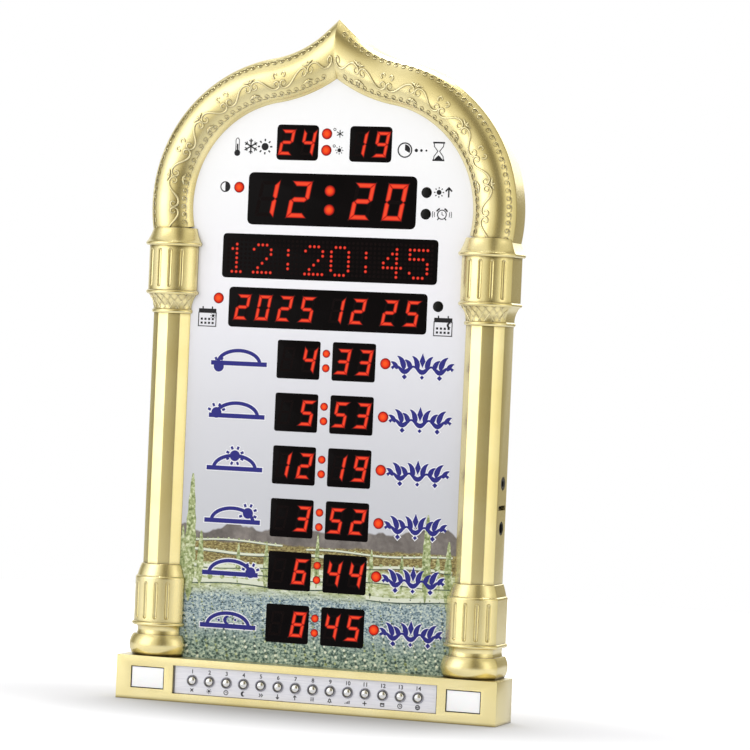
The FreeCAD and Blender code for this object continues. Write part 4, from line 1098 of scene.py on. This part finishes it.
def snowflake(ink, x, z):
    """Six arms with two barbs each."""
    ink.rays(x, z, 0.0, 4.2, 0.75, range(30, 390, 60))
    for degrees in range(30, 390, 60):
        a = math.radians(degrees)
        tip_x, tip_z = x + 2.5 * math.cos(a), z + 2.5 * math.sin(a)
        for turn in (-0.9, 0.9):
            ink.line([(tip_x, tip_z), (tip_x + 1.4 * math.cos(a + turn),
                                       tip_z + 1.4 * math.sin(a + turn))], 0.5)


def degree_signs(ink, x):
    """A small ring over each of two marks: frost for the first scale and a sun for the second."""
    for z, frost in ((318.3, True), (309.2, False)):
        ink.ring(x - 3.1, z + 2.3, 0.65, 0.35)
        if frost:
            ink.rays(x, z, 0.0, 2.1, 0.5, range(30, 390, 60))
        else:
            ink.sun(x, z, 2.3, 0.45)


def countdown_dial(ink, x, z):
    """A dial with a third of it filled, and three dots that dwindle beside it."""
    ink.ring(x, z, 3.9, 0.7)
    ink.plate([(x, z)] + arc(x, z, 3.1, 3.1, 90, -30, 9))
    for i, radius in enumerate((0.95, 0.75, 0.55)):
        ink.disc(x + 6.6 + 2.9 * i, z, radius, 16)


def hourglass(ink, x, z):
    """Two lids, two waisted sides, and the sand that has run through."""
    for lid in (-4.8, 4.8):
        ink.line([(x - 3.4, z + lid), (x + 3.4, z + lid)], 0.9)
    for way in (-1, 1):
        ink.line([(x + way * aside, z + rise) for aside, rise in (
            (2.8, 4.6), (2.6, 2.7), (0.5, 0.1), (2.6, -2.7), (2.8, -4.6))], 0.45)
    ink.plate([(x - 2.4, z - 4.5), (x + 2.4, z - 4.5), (x + 1.1, z - 2.9), (x, z - 2.1),
               (x - 1.1, z - 2.9)])


def alarm_clock(ink, x, z):
    """A dial with hands, two bells and two feet, ringing to both sides."""
    ink.ring(x, z, 2.5, 0.5)
    ink.line([(x, z + 1.5), (x, z), (x + 1.0, z - 0.5)], 0.4)
    for way in (-1, 1):
        ink.line(arc(x, z, 3.5, 3.5, 90 - way * 22, 90 - way * 62, 7), 0.85)
        ink.line([(x + way * 1.7, z - 2.0), (x + way * 2.5, z - 3.0)], 0.6)
        for gap in (4.4, 5.5):
            ink.line(arc(x, z, gap, gap, 90 - way * 72, 90 - way * 108, 7), 0.35)


def calendar(ink, x, z, moon):
    """A page with a solid head, two binding rings and its days, under a sun or a moon."""
    ink.line(box_outline(x - 5.2, x + 5.2, z, z + 7.6), 0.5, closed=True)
    ink.plate(box_outline(x - 5.2, x + 5.2, z + 7.6, z + 9.8))
    for way in (-1, 1):
        ink.line([(x + 2.8 * way, z + 9.1), (x + 2.8 * way, z + 11.0)], 0.7)
    for i in range(4):
        for j in range(2):
            left, foot = x - 3.9 + 2.2 * i, z + 1.2 + 2.2 * j
            ink.plate(box_outline(left, left + 1.2, foot, foot + 1.2))
    if moon:
        ink.crescent(x + 3.6, z + 5.9, 1.5)
    else:
        ink.sun(x + 3.4, z + 5.9, 1.7, 0.35)


def make_face_signs():
    """Signs in black beside the small lamps: warmth, countdown, half-day, season, calendars."""
    ink = Print(-2.045, inside_panel)
    thermometer(ink, -57.0, 306.4)
    snowflake(ink, -49.0, top_signs_z)
    ink.sun(-40.6, top_signs_z, 4.3, 0.8)
    degree_signs(ink, 3.2)
    countdown_dial(ink, 41.3, top_signs_z)
    hourglass(ink, 60.8, 309.9)
    ink.ring(-63.2, 287.4, 2.7, 0.6)
    ink.plate(arc(-63.2, 287.4, 2.6, 2.6, -90, 90, 15))
    ink.sun(62.0, 287.6, 2.9, 0.55)
    ink.arrow(67.6, 287.6, 2.6, 0.85)
    alarm_clock(ink, 64.2, 275.5)
    calendar(ink, -70.6, 209.4, moon=False)
    calendar(ink, 67.6, 209.4, moon=True)
    finish_piece(ink.object("face_signs"), printed_ink("ink_black", "#15141A"), sharp=30)


def row_signs(shape, grow):
    """The six times of day: the sun's way over the ground, and a flourish on the other side."""
    x, half, across, rise = -50.6, 16.6, 12.4, 7.2
    for i, z in enumerate(row_zs):
        ground = z - 3.6
        shape.line([(x - half - grow, ground), (x + half + grow, ground)], 2.5 + 2 * grow)
        shape.line(arc(x, ground, across, rise, 2, 178, 31), 2.0 + 2 * grow)
        angle = math.radians(sun_angles[i])
        sx, sz = x + across * math.cos(angle), ground + rise * math.sin(angle)
        if i == 5:
            shape.crescent(x - 0.4, ground + 3.4, 2.4 + grow)
            shape.disc(x + 4.4, ground + 3.7, 0.75 + grow * 0.6, 12)
            shape.disc(x - 5.4, ground + 3.1, 0.75 + grow * 0.6, 12)
        else:
            shape.disc(sx, sz, 3.0 + grow)
            shape.rays(sx, sz, 3.7 - grow * 0.5, 5.5 + grow, 1.35 + 2 * grow,
                       [a for a in range(-67, 293, 45)
                        if ground + 1.3 < sz + 4.8 * math.sin(math.radians(a))])
        flourish(shape, 56.8, z, grow)


def flourish(shape, x, z, grow):
    """A broad leafy scroll: a waving stem, leaves that lean outwards, and lozenges below."""
    along = np.linspace(-17.6, 17.6, 57)
    stem = -2.4 - 1.5 * np.cos(along * 0.62)
    shape.line(np.stack([x + along, z + stem], axis=1),
               1.1 + 1.5 * np.cos(along * 0.31) ** 2 + 2 * grow)
    for way in (-1, 1):
        for foot, reach, lean, thick in leaves:
            bend = np.linspace(0.0, 1.0, 15)
            turn = np.radians(90.0 - lean - 55.0 * bend ** 2)
            out = np.concatenate([[0], np.cumsum(np.cos(turn[1:]))]) * reach / 14
            up = np.concatenate([[0], np.cumsum(np.sin(turn[1:]))]) * reach / 14
            shape.line(np.stack([x + way * (foot + out), z - 2.6 + up], axis=1),
                       0.5 + thick * np.sin(math.pi * bend ** 0.7) + 2 * grow)
    bud = 1.7 + grow
    shape.plate([(x - bud, z + 2.2), (x, z - 1.4 - grow), (x + bud, z + 2.2), (x, z + 6.6 + grow)])
    for across, size in ((-10.1, 1.5), (0.0, 1.2), (10.1, 1.5)):
        size += grow * 1.3
        shape.plate([(x + across - size, z - 6.7), (x + across, z - 6.7 - size),
                     (x + across + size, z - 6.7), (x + across, z - 6.7 + size)])


def make_row_signs():
    """The signs of the rows in navy, each on a white edge that is a little larger."""
    for name, front, grow, ink in (("row_sign_edges", -2.03, 0.55, ("ink_white", "#FBFBFF")),
                                   ("row_signs", -2.09, 0.0, ("ink_navy", "#2B2A86"))):
        shape = Print(front, inside_panel)
        row_signs(shape, grow)
        finish_piece(shape.object(name), printed_ink(*ink), sharp=30)


def numeral(form, text, x, z, height):
    """A number as printed shapes."""
    data = bpy.data.curves.new("numeral", "FONT")
    data.body = text
    data.align_x = "CENTER"
    data.size = height
    data.extrude = 0.5
    data.offset = 0.07
    written = linked("numeral", data)
    mesh = evaluated(written)
    start = len(form.points)
    form.points += [(x + v.co.x, form.front if v.co.z > 0 else form.back, z + v.co.y)
                    for v in mesh.vertices]
    form.glow += [0.0] * len(mesh.vertices)
    form.faces += [tuple(start + i for i in face.vertices) for face in mesh.polygons]
    bpy.data.objects.remove(written)


def button_mark(ink, kind, x, z):
    """A small plain mark under a button."""
    if kind == "cross":
        ink.rays(x, z, 0.0, 1.2, 0.5, range(45, 405, 90))
    elif kind == "plus":
        ink.rays(x, z, 0.0, 1.2, 0.5, range(0, 360, 90))
    elif kind == "sun":
        ink.sun(x, z, 1.5, 0.4)
    elif kind == "moon":
        ink.crescent(x, z, 1.4)
    elif kind in ("up", "down"):
        ink.arrow(x, z, 1.25, 0.48, 1 if kind == "up" else -1)
    elif kind == "next":
        for shift in (-0.7, 0.5):
            ink.line([(x + shift, z + 0.9), (x + shift + 0.8, z), (x + shift, z - 0.9)], 0.48)
    elif kind == "dial":
        ink.ring(x, z, 1.2, 0.42)
        ink.line([(x, z + 0.7), (x, z), (x + 0.5, z - 0.2)], 0.38)
    elif kind == "bars":
        for i in range(4):
            left = x - 1.2 + 0.8 * i
            ink.line([(left, z - 0.9), (left, z - 0.5 + 0.45 * i)], 0.5)
    elif kind == "grid":
        for i in range(3):
            for j in range(3):
                ink.disc(x + 0.75 * (i - 1), z + 0.75 * (j - 1), 0.3, 10)
    elif kind == "bell":
        half = [(1.0, -0.7), (0.6, -0.3), (0.5, 0.6)]
        ink.line([(x - a, z + b) for a, b in half] + [(x, z + 1.0)]
                 + [(x + a, z + b) for a, b in reversed(half)], 0.44, closed=True)
        ink.disc(x, z - 1.05, 0.25, 10)
    elif kind == "page":
        ink.line(box_outline(x - 1.0, x + 1.0, z - 0.8, z + 0.8), 0.42, closed=True)
        ink.line([(x - 1.0, z + 0.35), (x + 1.0, z + 0.35)], 0.42)
    elif kind == "globe":
        ink.ring(x, z, 1.2, 0.4)
        ink.line([(x - 1.0, z), (x + 1.0, z)], 0.34)
        ink.line(arc(x, z, 0.45, 1.05, 0, 360, 17)[:-1], 0.32, closed=True)


def make_base_print():
    """Numbers above the buttons, small marks below them, and a thin line round them all: painted
    shade at the strip's edge.
    """
    ink = Print(-12.735, -12.68)
    for i, (x, kind) in enumerate(zip(button_xs, button_marks)):
        numeral(ink, str(i + 1), x, key_row_z + 4.05, 3.1)
        button_mark(ink, kind, x, key_row_z - 5.25)
    # painted shade: this dark line stands for the shade at the edge of the strip's recess
    ink.line(box_outline(-76.6, 76.6, key_row_z - 8.0, key_row_z + 8.0), 0.4, closed=True)
    finish_piece(ink.object("button_numbers"), printed_ink("ink_grey", "#2A2A30"), sharp=30)


# -------------------------------------------------------- buttons, windows, sockets
def make_buttons():
    """Bright domed buttons, each on its own body, and the bright rings round them."""
    ring = Form()
    revolve(ring, (0, 0), [(3.25, -11.1), (3.25, -12.9), (3.18, -13.2), (3.0, -13.38),
                           (2.8, -13.38), (2.62, -13.2), (2.46, -12.8), (2.46, -11.1)],
            count=40, closed=True)
    bright = plated_bright()
    repeated("bezel_rings", ring.object("ring"), [(x, 0.0, key_row_z) for x in button_xs],
             bezel_metal(), ["button_bezels"], sharp=50)
    cap, rim_y = 2.2, -12.9
    profile = [(1.4, -8.2), (1.5, -8.3), (1.5, -10.0), (2.68, -10.0), (2.73, -10.1),
               (2.73, -10.75), (cap, -10.8), (cap, rim_y)]
    profile += [(cap * math.cos(a) + 0.02, rim_y - 1.3 * math.sin(a))
                for a in np.radians(np.linspace(12, 90, 9))]
    for i, x in enumerate(button_xs):
        name = "button_%02d" % (i + 1)
        form = Form()
        revolve(form, (x, key_row_z), profile, count=36)
        finish_piece(form.object(name + "_cap"), bright, body=name, stands_for=[name], sharp=40)


def make_end_windows():
    """Milky lamp windows with softened edges, sunk a little into the base, each in a dark ring of
    painted shade.
    """
    # painted shade: a dark ring fills the narrow gap round each window, where the gap's shade
    # falls
    gap_shade_ring = moulded("painted_gap_shade", "#2A2822", 0.7, 1200.0, 0.1)
    for side, name in ((-1, "left_window"), (1, "right_window")):
        x = side * end_window_x
        outline = rounded(box_outline(x - 9.7, x + 9.7, 6.6, 18.3), 0.5, 3)
        form = Form()
        form.loft([level(outline, -12.5), level(outline, -13.75),
                   level(offset(outline, -0.08), -13.92), level(offset(outline, -0.3), -14.0)])
        finish_piece(form.object(name + "_lens"), milky_window(), stands_for=[name])
        form = Form()
        inner, outer = offset(outline, -0.3), offset(outline, 0.23)
        form.loft([level(inner, -13.9), level(inner, -14.12), level(outer, -14.12),
                   level(outer, -13.9), level(inner, -13.9)], ends=False)
        finish_piece(form.object(name + "_gasket"), gap_shade_ring, sharp=30)


def make_sockets():
    """The round sockets in the right-hand side, with their bores, and the inlet's pin."""
    black = moulded("socket_black_abs", "#17171A", 0.42, 1500.0, 0.05)
    for name, z, outer, bore, depth in (("audio_socket", audio_z, 3.6, 1.8, 91.0),
                                        ("power_socket", power_z, 3.4, 2.8, 94.0)):
        form = Form()
        revolve(form, (socket_y, z), [
            (4.45, 86.9), (4.45, 100.75), (outer, 100.8), (outer, side_x - 0.2),
            (outer - 0.2, side_x), (bore + 0.25, side_x), (bore, side_x - 0.3), (bore, depth)],
            count=36, axis="x")
        finish_piece(form.object(name + "_barrel"), black, stands_for=[name], sharp=35)
    form = Form()
    revolve(form, (socket_y, power_z), [(1.0, 94.0), (1.0, 100.9), (0.85, 101.3), (0.4, 101.5)],
            count=20, axis="x")
    finish_piece(form.object("power_pin_tip"), metal("nickel_plate", "#C9C4BA", 0.22, 0.03),
                 stands_for=["power_pin"])


def make_cover_screws():
    """Pan screws of the rear cover, with a cross recess in each head."""
    form = Form()
    revolve(form, (0, 0), [(1.2, 5.3), (1.3, 5.5), (1.3, 13.3), (2.55, 13.3), (2.6, 13.5),
                           (2.5, 13.95), (2.1, 14.3), (1.4, 14.45), (0.3, back_y)], count=28)
    head = form.object("pan_screw")
    long, short = 1.3, 0.28
    cut(head, [bar("slot", box_outline(-x, x, -z, z), 13.7, back_y + 0.5, "y")
               for x, z in ((long, short), (short, long))])
    repeated("cover_pan_screws", head,
             [(side * x, 0.0, z) for side in (-1, 1) for x, z in cover_screws],
             metal("zinc_plated_steel", "#A9ABB0", 0.34, 0.08), ["cover_screws"])


# -------------------------------------------------------- finishes
def fine_grain(tree, shader, scale, strength, stretch=(1.0, 1.0, 1.0)):
    """A moulded, sprayed or brushed grain in the light, at so many grains a metre."""
    place = add(tree, "ShaderNodeTexCoord")
    drawn = add(tree, "ShaderNodeMapping", {"Vector": place.outputs["Object"],
                                            "Scale": stretch})
    grain = add(tree, "ShaderNodeTexNoise", {"Vector": drawn.outputs[0], "Scale": scale,
                                             "Detail": 3.0})
    bump = add(tree, "ShaderNodeBump", {"Height": grain.outputs[0], "Strength": strength,
                                        "Distance": 0.0002})
    tree.links.new(bump.outputs[0], shader.inputs["Normal"])
    return drawn.outputs[0], grain.outputs[0]


def tinted(tree, shader, factor, stops):
    """The shader's colour, from a factor and its stops of place and colour."""
    shades = add(tree, "ShaderNodeValToRGB", {"Fac": factor}, stops=stops)
    tree.links.new(shades.outputs[0], shader.inputs["Base Color"])


def grained(name, inputs, scale, strength, stops, stretch=(1.0, 1.0, 1.0)):
    """A finish whose grain breaks its highlight and mottles its colour between the stops."""
    material, tree, shader = new_material(name, inputs)
    grain = fine_grain(tree, shader, scale, strength, stretch)[1]
    tinted(tree, shader, grain, stops)
    return material


def darkened(code, share):
    """A hex colour at a share of its sRGB value."""
    return "#" + "".join("%02X" % int(int(code[i:i + 2], 16) * share) for i in (1, 3, 5))


def satin_gold(name, shade, light, roughness):
    """Vacuum-metallised ABS, satin lacquer: wide highlights, and painted shade that browns it in
    the hollows.
    """
    material, tree, shader = new_material(name, {"Metallic": 0.9, "Roughness": roughness,
                                                 "Coat Weight": 0.5, "Coat Roughness": 0.3})
    place = fine_grain(tree, shader, 2600.0, 0.05)[0]
    cloud = add(tree, "ShaderNodeTexNoise", {"Vector": place, "Scale": 35.0, "Detail": 2.0})
    even = add(tree, "ShaderNodeValToRGB", {"Fac": cloud.outputs[0]},
               stops=[(0.3, shade), (0.7, light)])
    # painted shade: ambient occlusion browns the gold in grooves, creases and round the relief
    occlusion_for_painted_shade = add(tree, "ShaderNodeAmbientOcclusion", {"Distance": 0.002}, samples=8)
    bare = add(tree, "ShaderNodeMapRange", {"Value": occlusion_for_painted_shade.outputs["AO"], "From Min": 0.4,
                                            "From Max": 0.97})
    gilt_with_painted_shade = add(tree, "ShaderNodeMix", {"Factor": bare.outputs[0], "A": colour("#6E5E2A"),
                                       "B": even.outputs[0]}, data_type="RGBA")
    tree.links.new(gilt_with_painted_shade.outputs[2], shader.inputs["Base Color"])
    return material


def moulded(name, base, roughness, scale, strength):
    """Injection-moulded plastic: an even colour, and a spark-eroded grain in the highlight."""
    return grained(name, {"Roughness": roughness}, scale, strength,
                   [(0.35, darkened(base, 0.86)), (0.65, base)])


def metal(name, base, roughness, strength):
    """A plated or rolled metal: a mirror of its surroundings, broken by fine marks."""
    return grained(name, {"Metallic": 1.0, "Roughness": roughness}, 1800.0, strength,
                   [(0.35, darkened(base, 0.9)), (0.65, base)])


def plated_bright():
    """Chrome-plated ABS caps: a bright round highlight and dark edges."""
    return metal("chrome_plated_caps", "#F0F0F2", 0.2, 0.02)


def bezel_metal():
    """Chrome-plated rings, darker and duller than the caps."""
    return metal("chrome_plated_rings", "#A6A6B0", 0.24, 0.04)


def smoked_window():
    """Smoked acrylic over the displays: near black, with a faint polish."""
    return grained("smoked_acrylic", {"Roughness": 0.18, "Specular IOR Level": 0.05},
                   60.0, 0.02, [(0.3, "#040203"), (0.7, "#080405")])


def unlit_bar():
    """Diffusing epoxy of an unlit bar or dot: hardly lighter than the window before it."""
    return grained("unlit_red_epoxy", {"Roughness": 0.5, "Specular IOR Level": 0.05},
                   900.0, 0.05, [(0.3, "#0D0606"), (0.7, "#120808")])


def dark_lens():
    """Black-tinted lens of a lamp that is off: a small highlight on its dome."""
    return grained("dark_lamp_lens", {"Roughness": 0.22, "Specular IOR Level": 0.15},
                   700.0, 0.03, [(0.3, "#050506"), (0.7, "#0A090B")])


def led_glow(name, core):
    """Red light through diffusing epoxy: an orange core that falls off to deep red at the edge."""
    material, tree, shader = new_material(name, {"Roughness": 0.5, "Specular IOR Level": 0.1,
                                                 "Emission Strength": 1.0})
    glow = add(tree, "ShaderNodeAttribute", attribute_name="glow")
    light = add(tree, "ShaderNodeValToRGB", {"Fac": glow.outputs["Fac"]}, stops=[
        (0.0, "#060304"), (0.22, "#3A0805"), (0.42, "#B01A10"), (0.55, "#E42E18"), (1.0, core)])
    tree.links.new(light.outputs[0], shader.inputs["Emission Color"])
    place = add(tree, "ShaderNodeTexCoord")
    haze = add(tree, "ShaderNodeTexNoise", {"Vector": place.outputs["Object"], "Scale": 900.0})
    tinted(tree, shader, haze.outputs[0], [(0.3, "#0A0303"), (0.7, "#160504")])
    return material


def printed_ink(name, base):
    """Screen-printed ink: flat and matt, with the faint mottle of the mesh it went through."""
    return grained(name, {"Roughness": 0.45, "Specular IOR Level": 0.25}, 4000.0, 0.02,
                   [(0.3, darkened(base, 0.93)), (0.7, base)])


def printed_acrylic():
    """Acrylic printed on its back: white above, cooling to lavender grey, over a hazy garden."""
    material, tree, shader = new_material("face_printed_acrylic", {
        "Roughness": 0.22, "Specular IOR Level": 0.3})
    place = add(tree, "ShaderNodeTexCoord").outputs["Object"]
    spot = add(tree, "ShaderNodeSeparateXYZ", {0: place})
    height = spot.outputs["Z"]
    rise = add(tree, "ShaderNodeMapRange", {"Value": height, "From Min": 0.024, "From Max": 0.352})
    picture = add(tree, "ShaderNodeValToRGB", {"Fac": rise.outputs[0]}, stops=[
        (0.14, "#CDCED4"), (0.30, "#D4D5DA"), (0.44, "#E1E1E6"), (0.54, "#ECECF1"),
        (0.64, "#F8F7FB"), (0.85, "#FFFFFF")]).outputs[0]
    flat = add(tree, "ShaderNodeCombineXYZ", {"X": spot.outputs["X"]})
    for ridge, wander, pitch, edge, scale, flatness, stops in garden_layers:
        drift = add(tree, "ShaderNodeTexNoise", {"Vector": flat.outputs[0], "Scale": pitch,
                                                 "Detail": 4.0})
        line = add(tree, "ShaderNodeMath", {0: drift.outputs[0], 1: wander, 2: ridge},
                   operation="MULTIPLY_ADD")
        above = add(tree, "ShaderNodeMath", {0: height, 1: line.outputs[0]}, operation="SUBTRACT")
        cover = add(tree, "ShaderNodeMapRange", {"Value": above.outputs[0], "From Min": -edge,
                                                 "From Max": edge, "To Min": 1.0, "To Max": 0.0})
        pressed = add(tree, "ShaderNodeMapping", {"Vector": place, "Scale": (1.0, 1.0, flatness)})
        motif = add(tree, "ShaderNodeTexNoise", {"Vector": pressed.outputs[0], "Scale": scale,
                                                 "Detail": 5.0, "Roughness": 0.7})
        shades = add(tree, "ShaderNodeValToRGB", {"Fac": motif.outputs[0]}, stops=stops)
        picture = add(tree, "ShaderNodeMix", {"Factor": cover.outputs[0], "A": picture,
                                              "B": shades.outputs[0]}, data_type="RGBA").outputs[2]
    tree.links.new(picture, shader.inputs["Base Color"])
    return material


def foliage_print(name, stops):
    """Printed leaves: blots of olive and grey-green that run into each other."""
    return grained(name, {"Roughness": 0.3, "Specular IOR Level": 0.25}, 700.0, 0.01, stops)


def milky_window():
    """Milky polycarbonate diffuser: white all through, with soft edges, and a faint glow that is
    painted light.
    """
    return grained("milky_polycarbonate", {
        "Roughness": 0.35, "Subsurface Weight": 0.15, "Subsurface Scale": 0.001,
        "Emission Color": (1, 1, 1, 1), "Emission Strength": 0.14},
        1200.0, 0.02, [(0.3, "#FBFBFA"), (0.7, "#FFFFFF")])


def silver_strip():
    """Silver-painted foil with a lengthwise brushing, pale and a little blue."""
    return grained("brushed_silver_foil", {"Metallic": 0.3, "Roughness": 0.42}, 1500.0, 0.05,
                   [(0.3, "#E2E2EC"), (0.7, "#F4F4FA")], (0.05, 1.0, 1.0))


def circuit_board():
    """Glass-fibre board under green mask: copper tracks show as a paler net."""
    material, tree, shader = new_material("green_masked_board", {"Roughness": 0.35})
    place = add(tree, "ShaderNodeTexCoord")
    turned = add(tree, "ShaderNodeMapping", {"Vector": place.outputs["Object"],
                                             "Rotation": (math.radians(90), 0, 0)})
    tracks = add(tree, "ShaderNodeTexBrick", {
        "Vector": turned.outputs[0], "Scale": 1.0, "Color1": colour("#1B5A2E"),
        "Color2": colour("#1F6634"), "Mortar": colour("#4F9A58"), "Mortar Size": 0.0004,
        "Brick Width": 0.011, "Row Height": 0.0035})
    tree.links.new(tracks.outputs[0], shader.inputs["Base Color"])
    return material


def ribbon_cable():
    """Flat grey PVC cable: fourteen cores show as ribs, with painted shade in the grooves and
    paler crests.
    """
    material, tree, shader = new_material("grey_ribbon_cable", {"Roughness": 0.5})
    place = add(tree, "ShaderNodeTexCoord")
    ribs = add(tree, "ShaderNodeTexWave", {"Vector": place.outputs["Object"],
                                           "Scale": 1.0 / 0.0064},
               wave_type="BANDS", bands_direction="X")
    bump = add(tree, "ShaderNodeBump", {"Height": ribs.outputs[0], "Strength": 0.6,
                                        "Distance": 0.0003})
    tree.links.new(bump.outputs[0], shader.inputs["Normal"])
    # painted shade and highlight: the colour follows the ribs, darker in the grooves and paler on
    # the crests
    tinted(tree, shader, ribs.outputs[0], [(0.2, "#7E7E82"), (0.8, "#A9A9AD")])
    return material


def make_garden():
    """Low printed shapes over the hazy garden: terraces with hedges, shrubs and cypresses."""
    pale, leafy, dim = (Print(front, inside_panel) for front in (-2.012, -2.03, -2.045))
    for k, (z, start, end, thick) in enumerate(terraces):
        along = np.linspace(start, end, 25)
        rise = z + 0.8 * np.sin(along * 0.09 + k)
        pale.line(np.stack([along, rise], axis=1), thick)
        dim.line(np.stack([along, rise - 0.7 * thick], axis=1), 0.28 * thick)
        for x in np.arange(min(start, end) + 2.0, max(start, end) - 1.0, 3.1 + 0.7 * k):
            size = 0.5 * thick * (1.0 + 0.35 * math.sin(7.0 * x + z))
            leafy.disc(x, z + 0.8 * math.sin(x * 0.09 + k) + 0.75 * thick, size, 12)
    for k in range(520):
        # steps of these shares scatter the shrubs evenly, and the same each time
        across, up, bulk = ((k * step) % 1.0 for step in (0.7548777, 0.6180339, 0.37))
        x, z = -79.0 + 158.0 * across, 25.2 + 40.0 * up
        (dim, dim, pale, leafy)[k % 4].disc(x, z, 1.0 - 0.012 * z + 0.25 * bulk, 8)
    for x, foot, rise, half in cypresses:
        side = [(half * math.sin(math.pi * (1.0 - t)) ** 0.45 * (0.42 + 0.58 * (1.0 - t))
                 * (1.0 + 0.09 * math.sin(43.0 * t)), foot + rise * t)
                for t in np.linspace(0.02, 0.985, 41)]
        leafy.plate([(x - 0.3, foot - 2.5), (x + 0.3, foot - 2.5)]
                    + [(x + w, z) for w, z in side] + [(x - w, z) for w, z in reversed(side)])
    for name, shapes, finish in (
            ("garden_terraces", pale, printed_ink("printed_terraces", "#EEF2DC")),
            ("garden_cypresses", leafy, foliage_print("printed_foliage", [
                (0.3, "#62733F"), (0.5, "#A9B57C"), (0.7, "#E4E9C4")])),
            ("garden_shade", dim, foliage_print("printed_shade", [
                (0.3, "#2F3D3C"), (0.55, "#536658"), (0.75, "#7F8C6A")]))):
        finish_piece(shapes.object(name), finish, sharp=30)


def dress_nodes():
    """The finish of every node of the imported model, by its material slot."""
    black = moulded("black_abs", "#1C1C1F", 0.45, 1500.0, 0.08)
    finishes = {
        "gold_paint": gold, "printed_panel": printed_acrylic(), "smoked_window": smoked_window(),
        "display_block": moulded("display_block_abs", "#131315", 0.5, 1300.0, 0.06),
        "lamp_red": moulded("red_lamp_epoxy", "#A01810", 0.25, 800.0, 0.02),
        "circuit_board": circuit_board(), "chip_black": black,
        "steel": metal("zinc_plated_steel_parts", "#A8AAAF", 0.32, 0.06),
        "pin_brass": metal("nickel_plated_brass", "#CFC3A2", 0.25, 0.04),
        "strip_silver": silver_strip(), "button_chrome": plated_bright(),
        "white_window": milky_window(),
        "lamp_white": moulded("white_lamp_epoxy", "#F2F0DC", 0.25, 800.0, 0.02),
        "cable_grey": ribbon_cable(),
        "plug_white": moulded("plug_nylon", "#E6E2D6", 0.45, 1100.0, 0.05),
        "cover_gold": moulded("cover_gold_sprayed_abs", "#BFAE72", 0.5, 1100.0, 0.25),
        "cone_paper": moulded("pressed_cone_paper", "#1E1D1C", 0.85, 1700.0, 0.5)}
    slots = {part["node"]: part["material_slot"] for part in frame["record"]["subparts"]}
    for name, node in frame["nodes"].items():
        node.data.materials.clear()
        node.data.materials.append(finishes[slots[name]])


# -------------------------------------------------------- the clock
place_camera()
make_stage()
strands, repeats = strand_tree(), repeat_tree()
gold = satin_gold("satin_gold_metallised_abs", "#EADA9A", "#F2E5AE", 0.27)
# painted highlight: the relief's gold is a lighter copy of the band's, so the ornament stands out
gold_relief_painted_lighter = satin_gold("satin_gold_relief", "#EFE3AC", "#F6ECC2", 0.26)
make_arch()
make_borders()
make_vine()
make_columns()
make_lattice()
make_base()
make_windows()
make_digits()
make_dots()
make_lamps()
make_garden()
make_face_signs()
make_row_signs()
make_base_print()
make_buttons()
make_end_windows()
make_sockets()
make_cover_screws()
dress_nodes()
bpy.context.scene.view_settings.view_transform = "Standard"
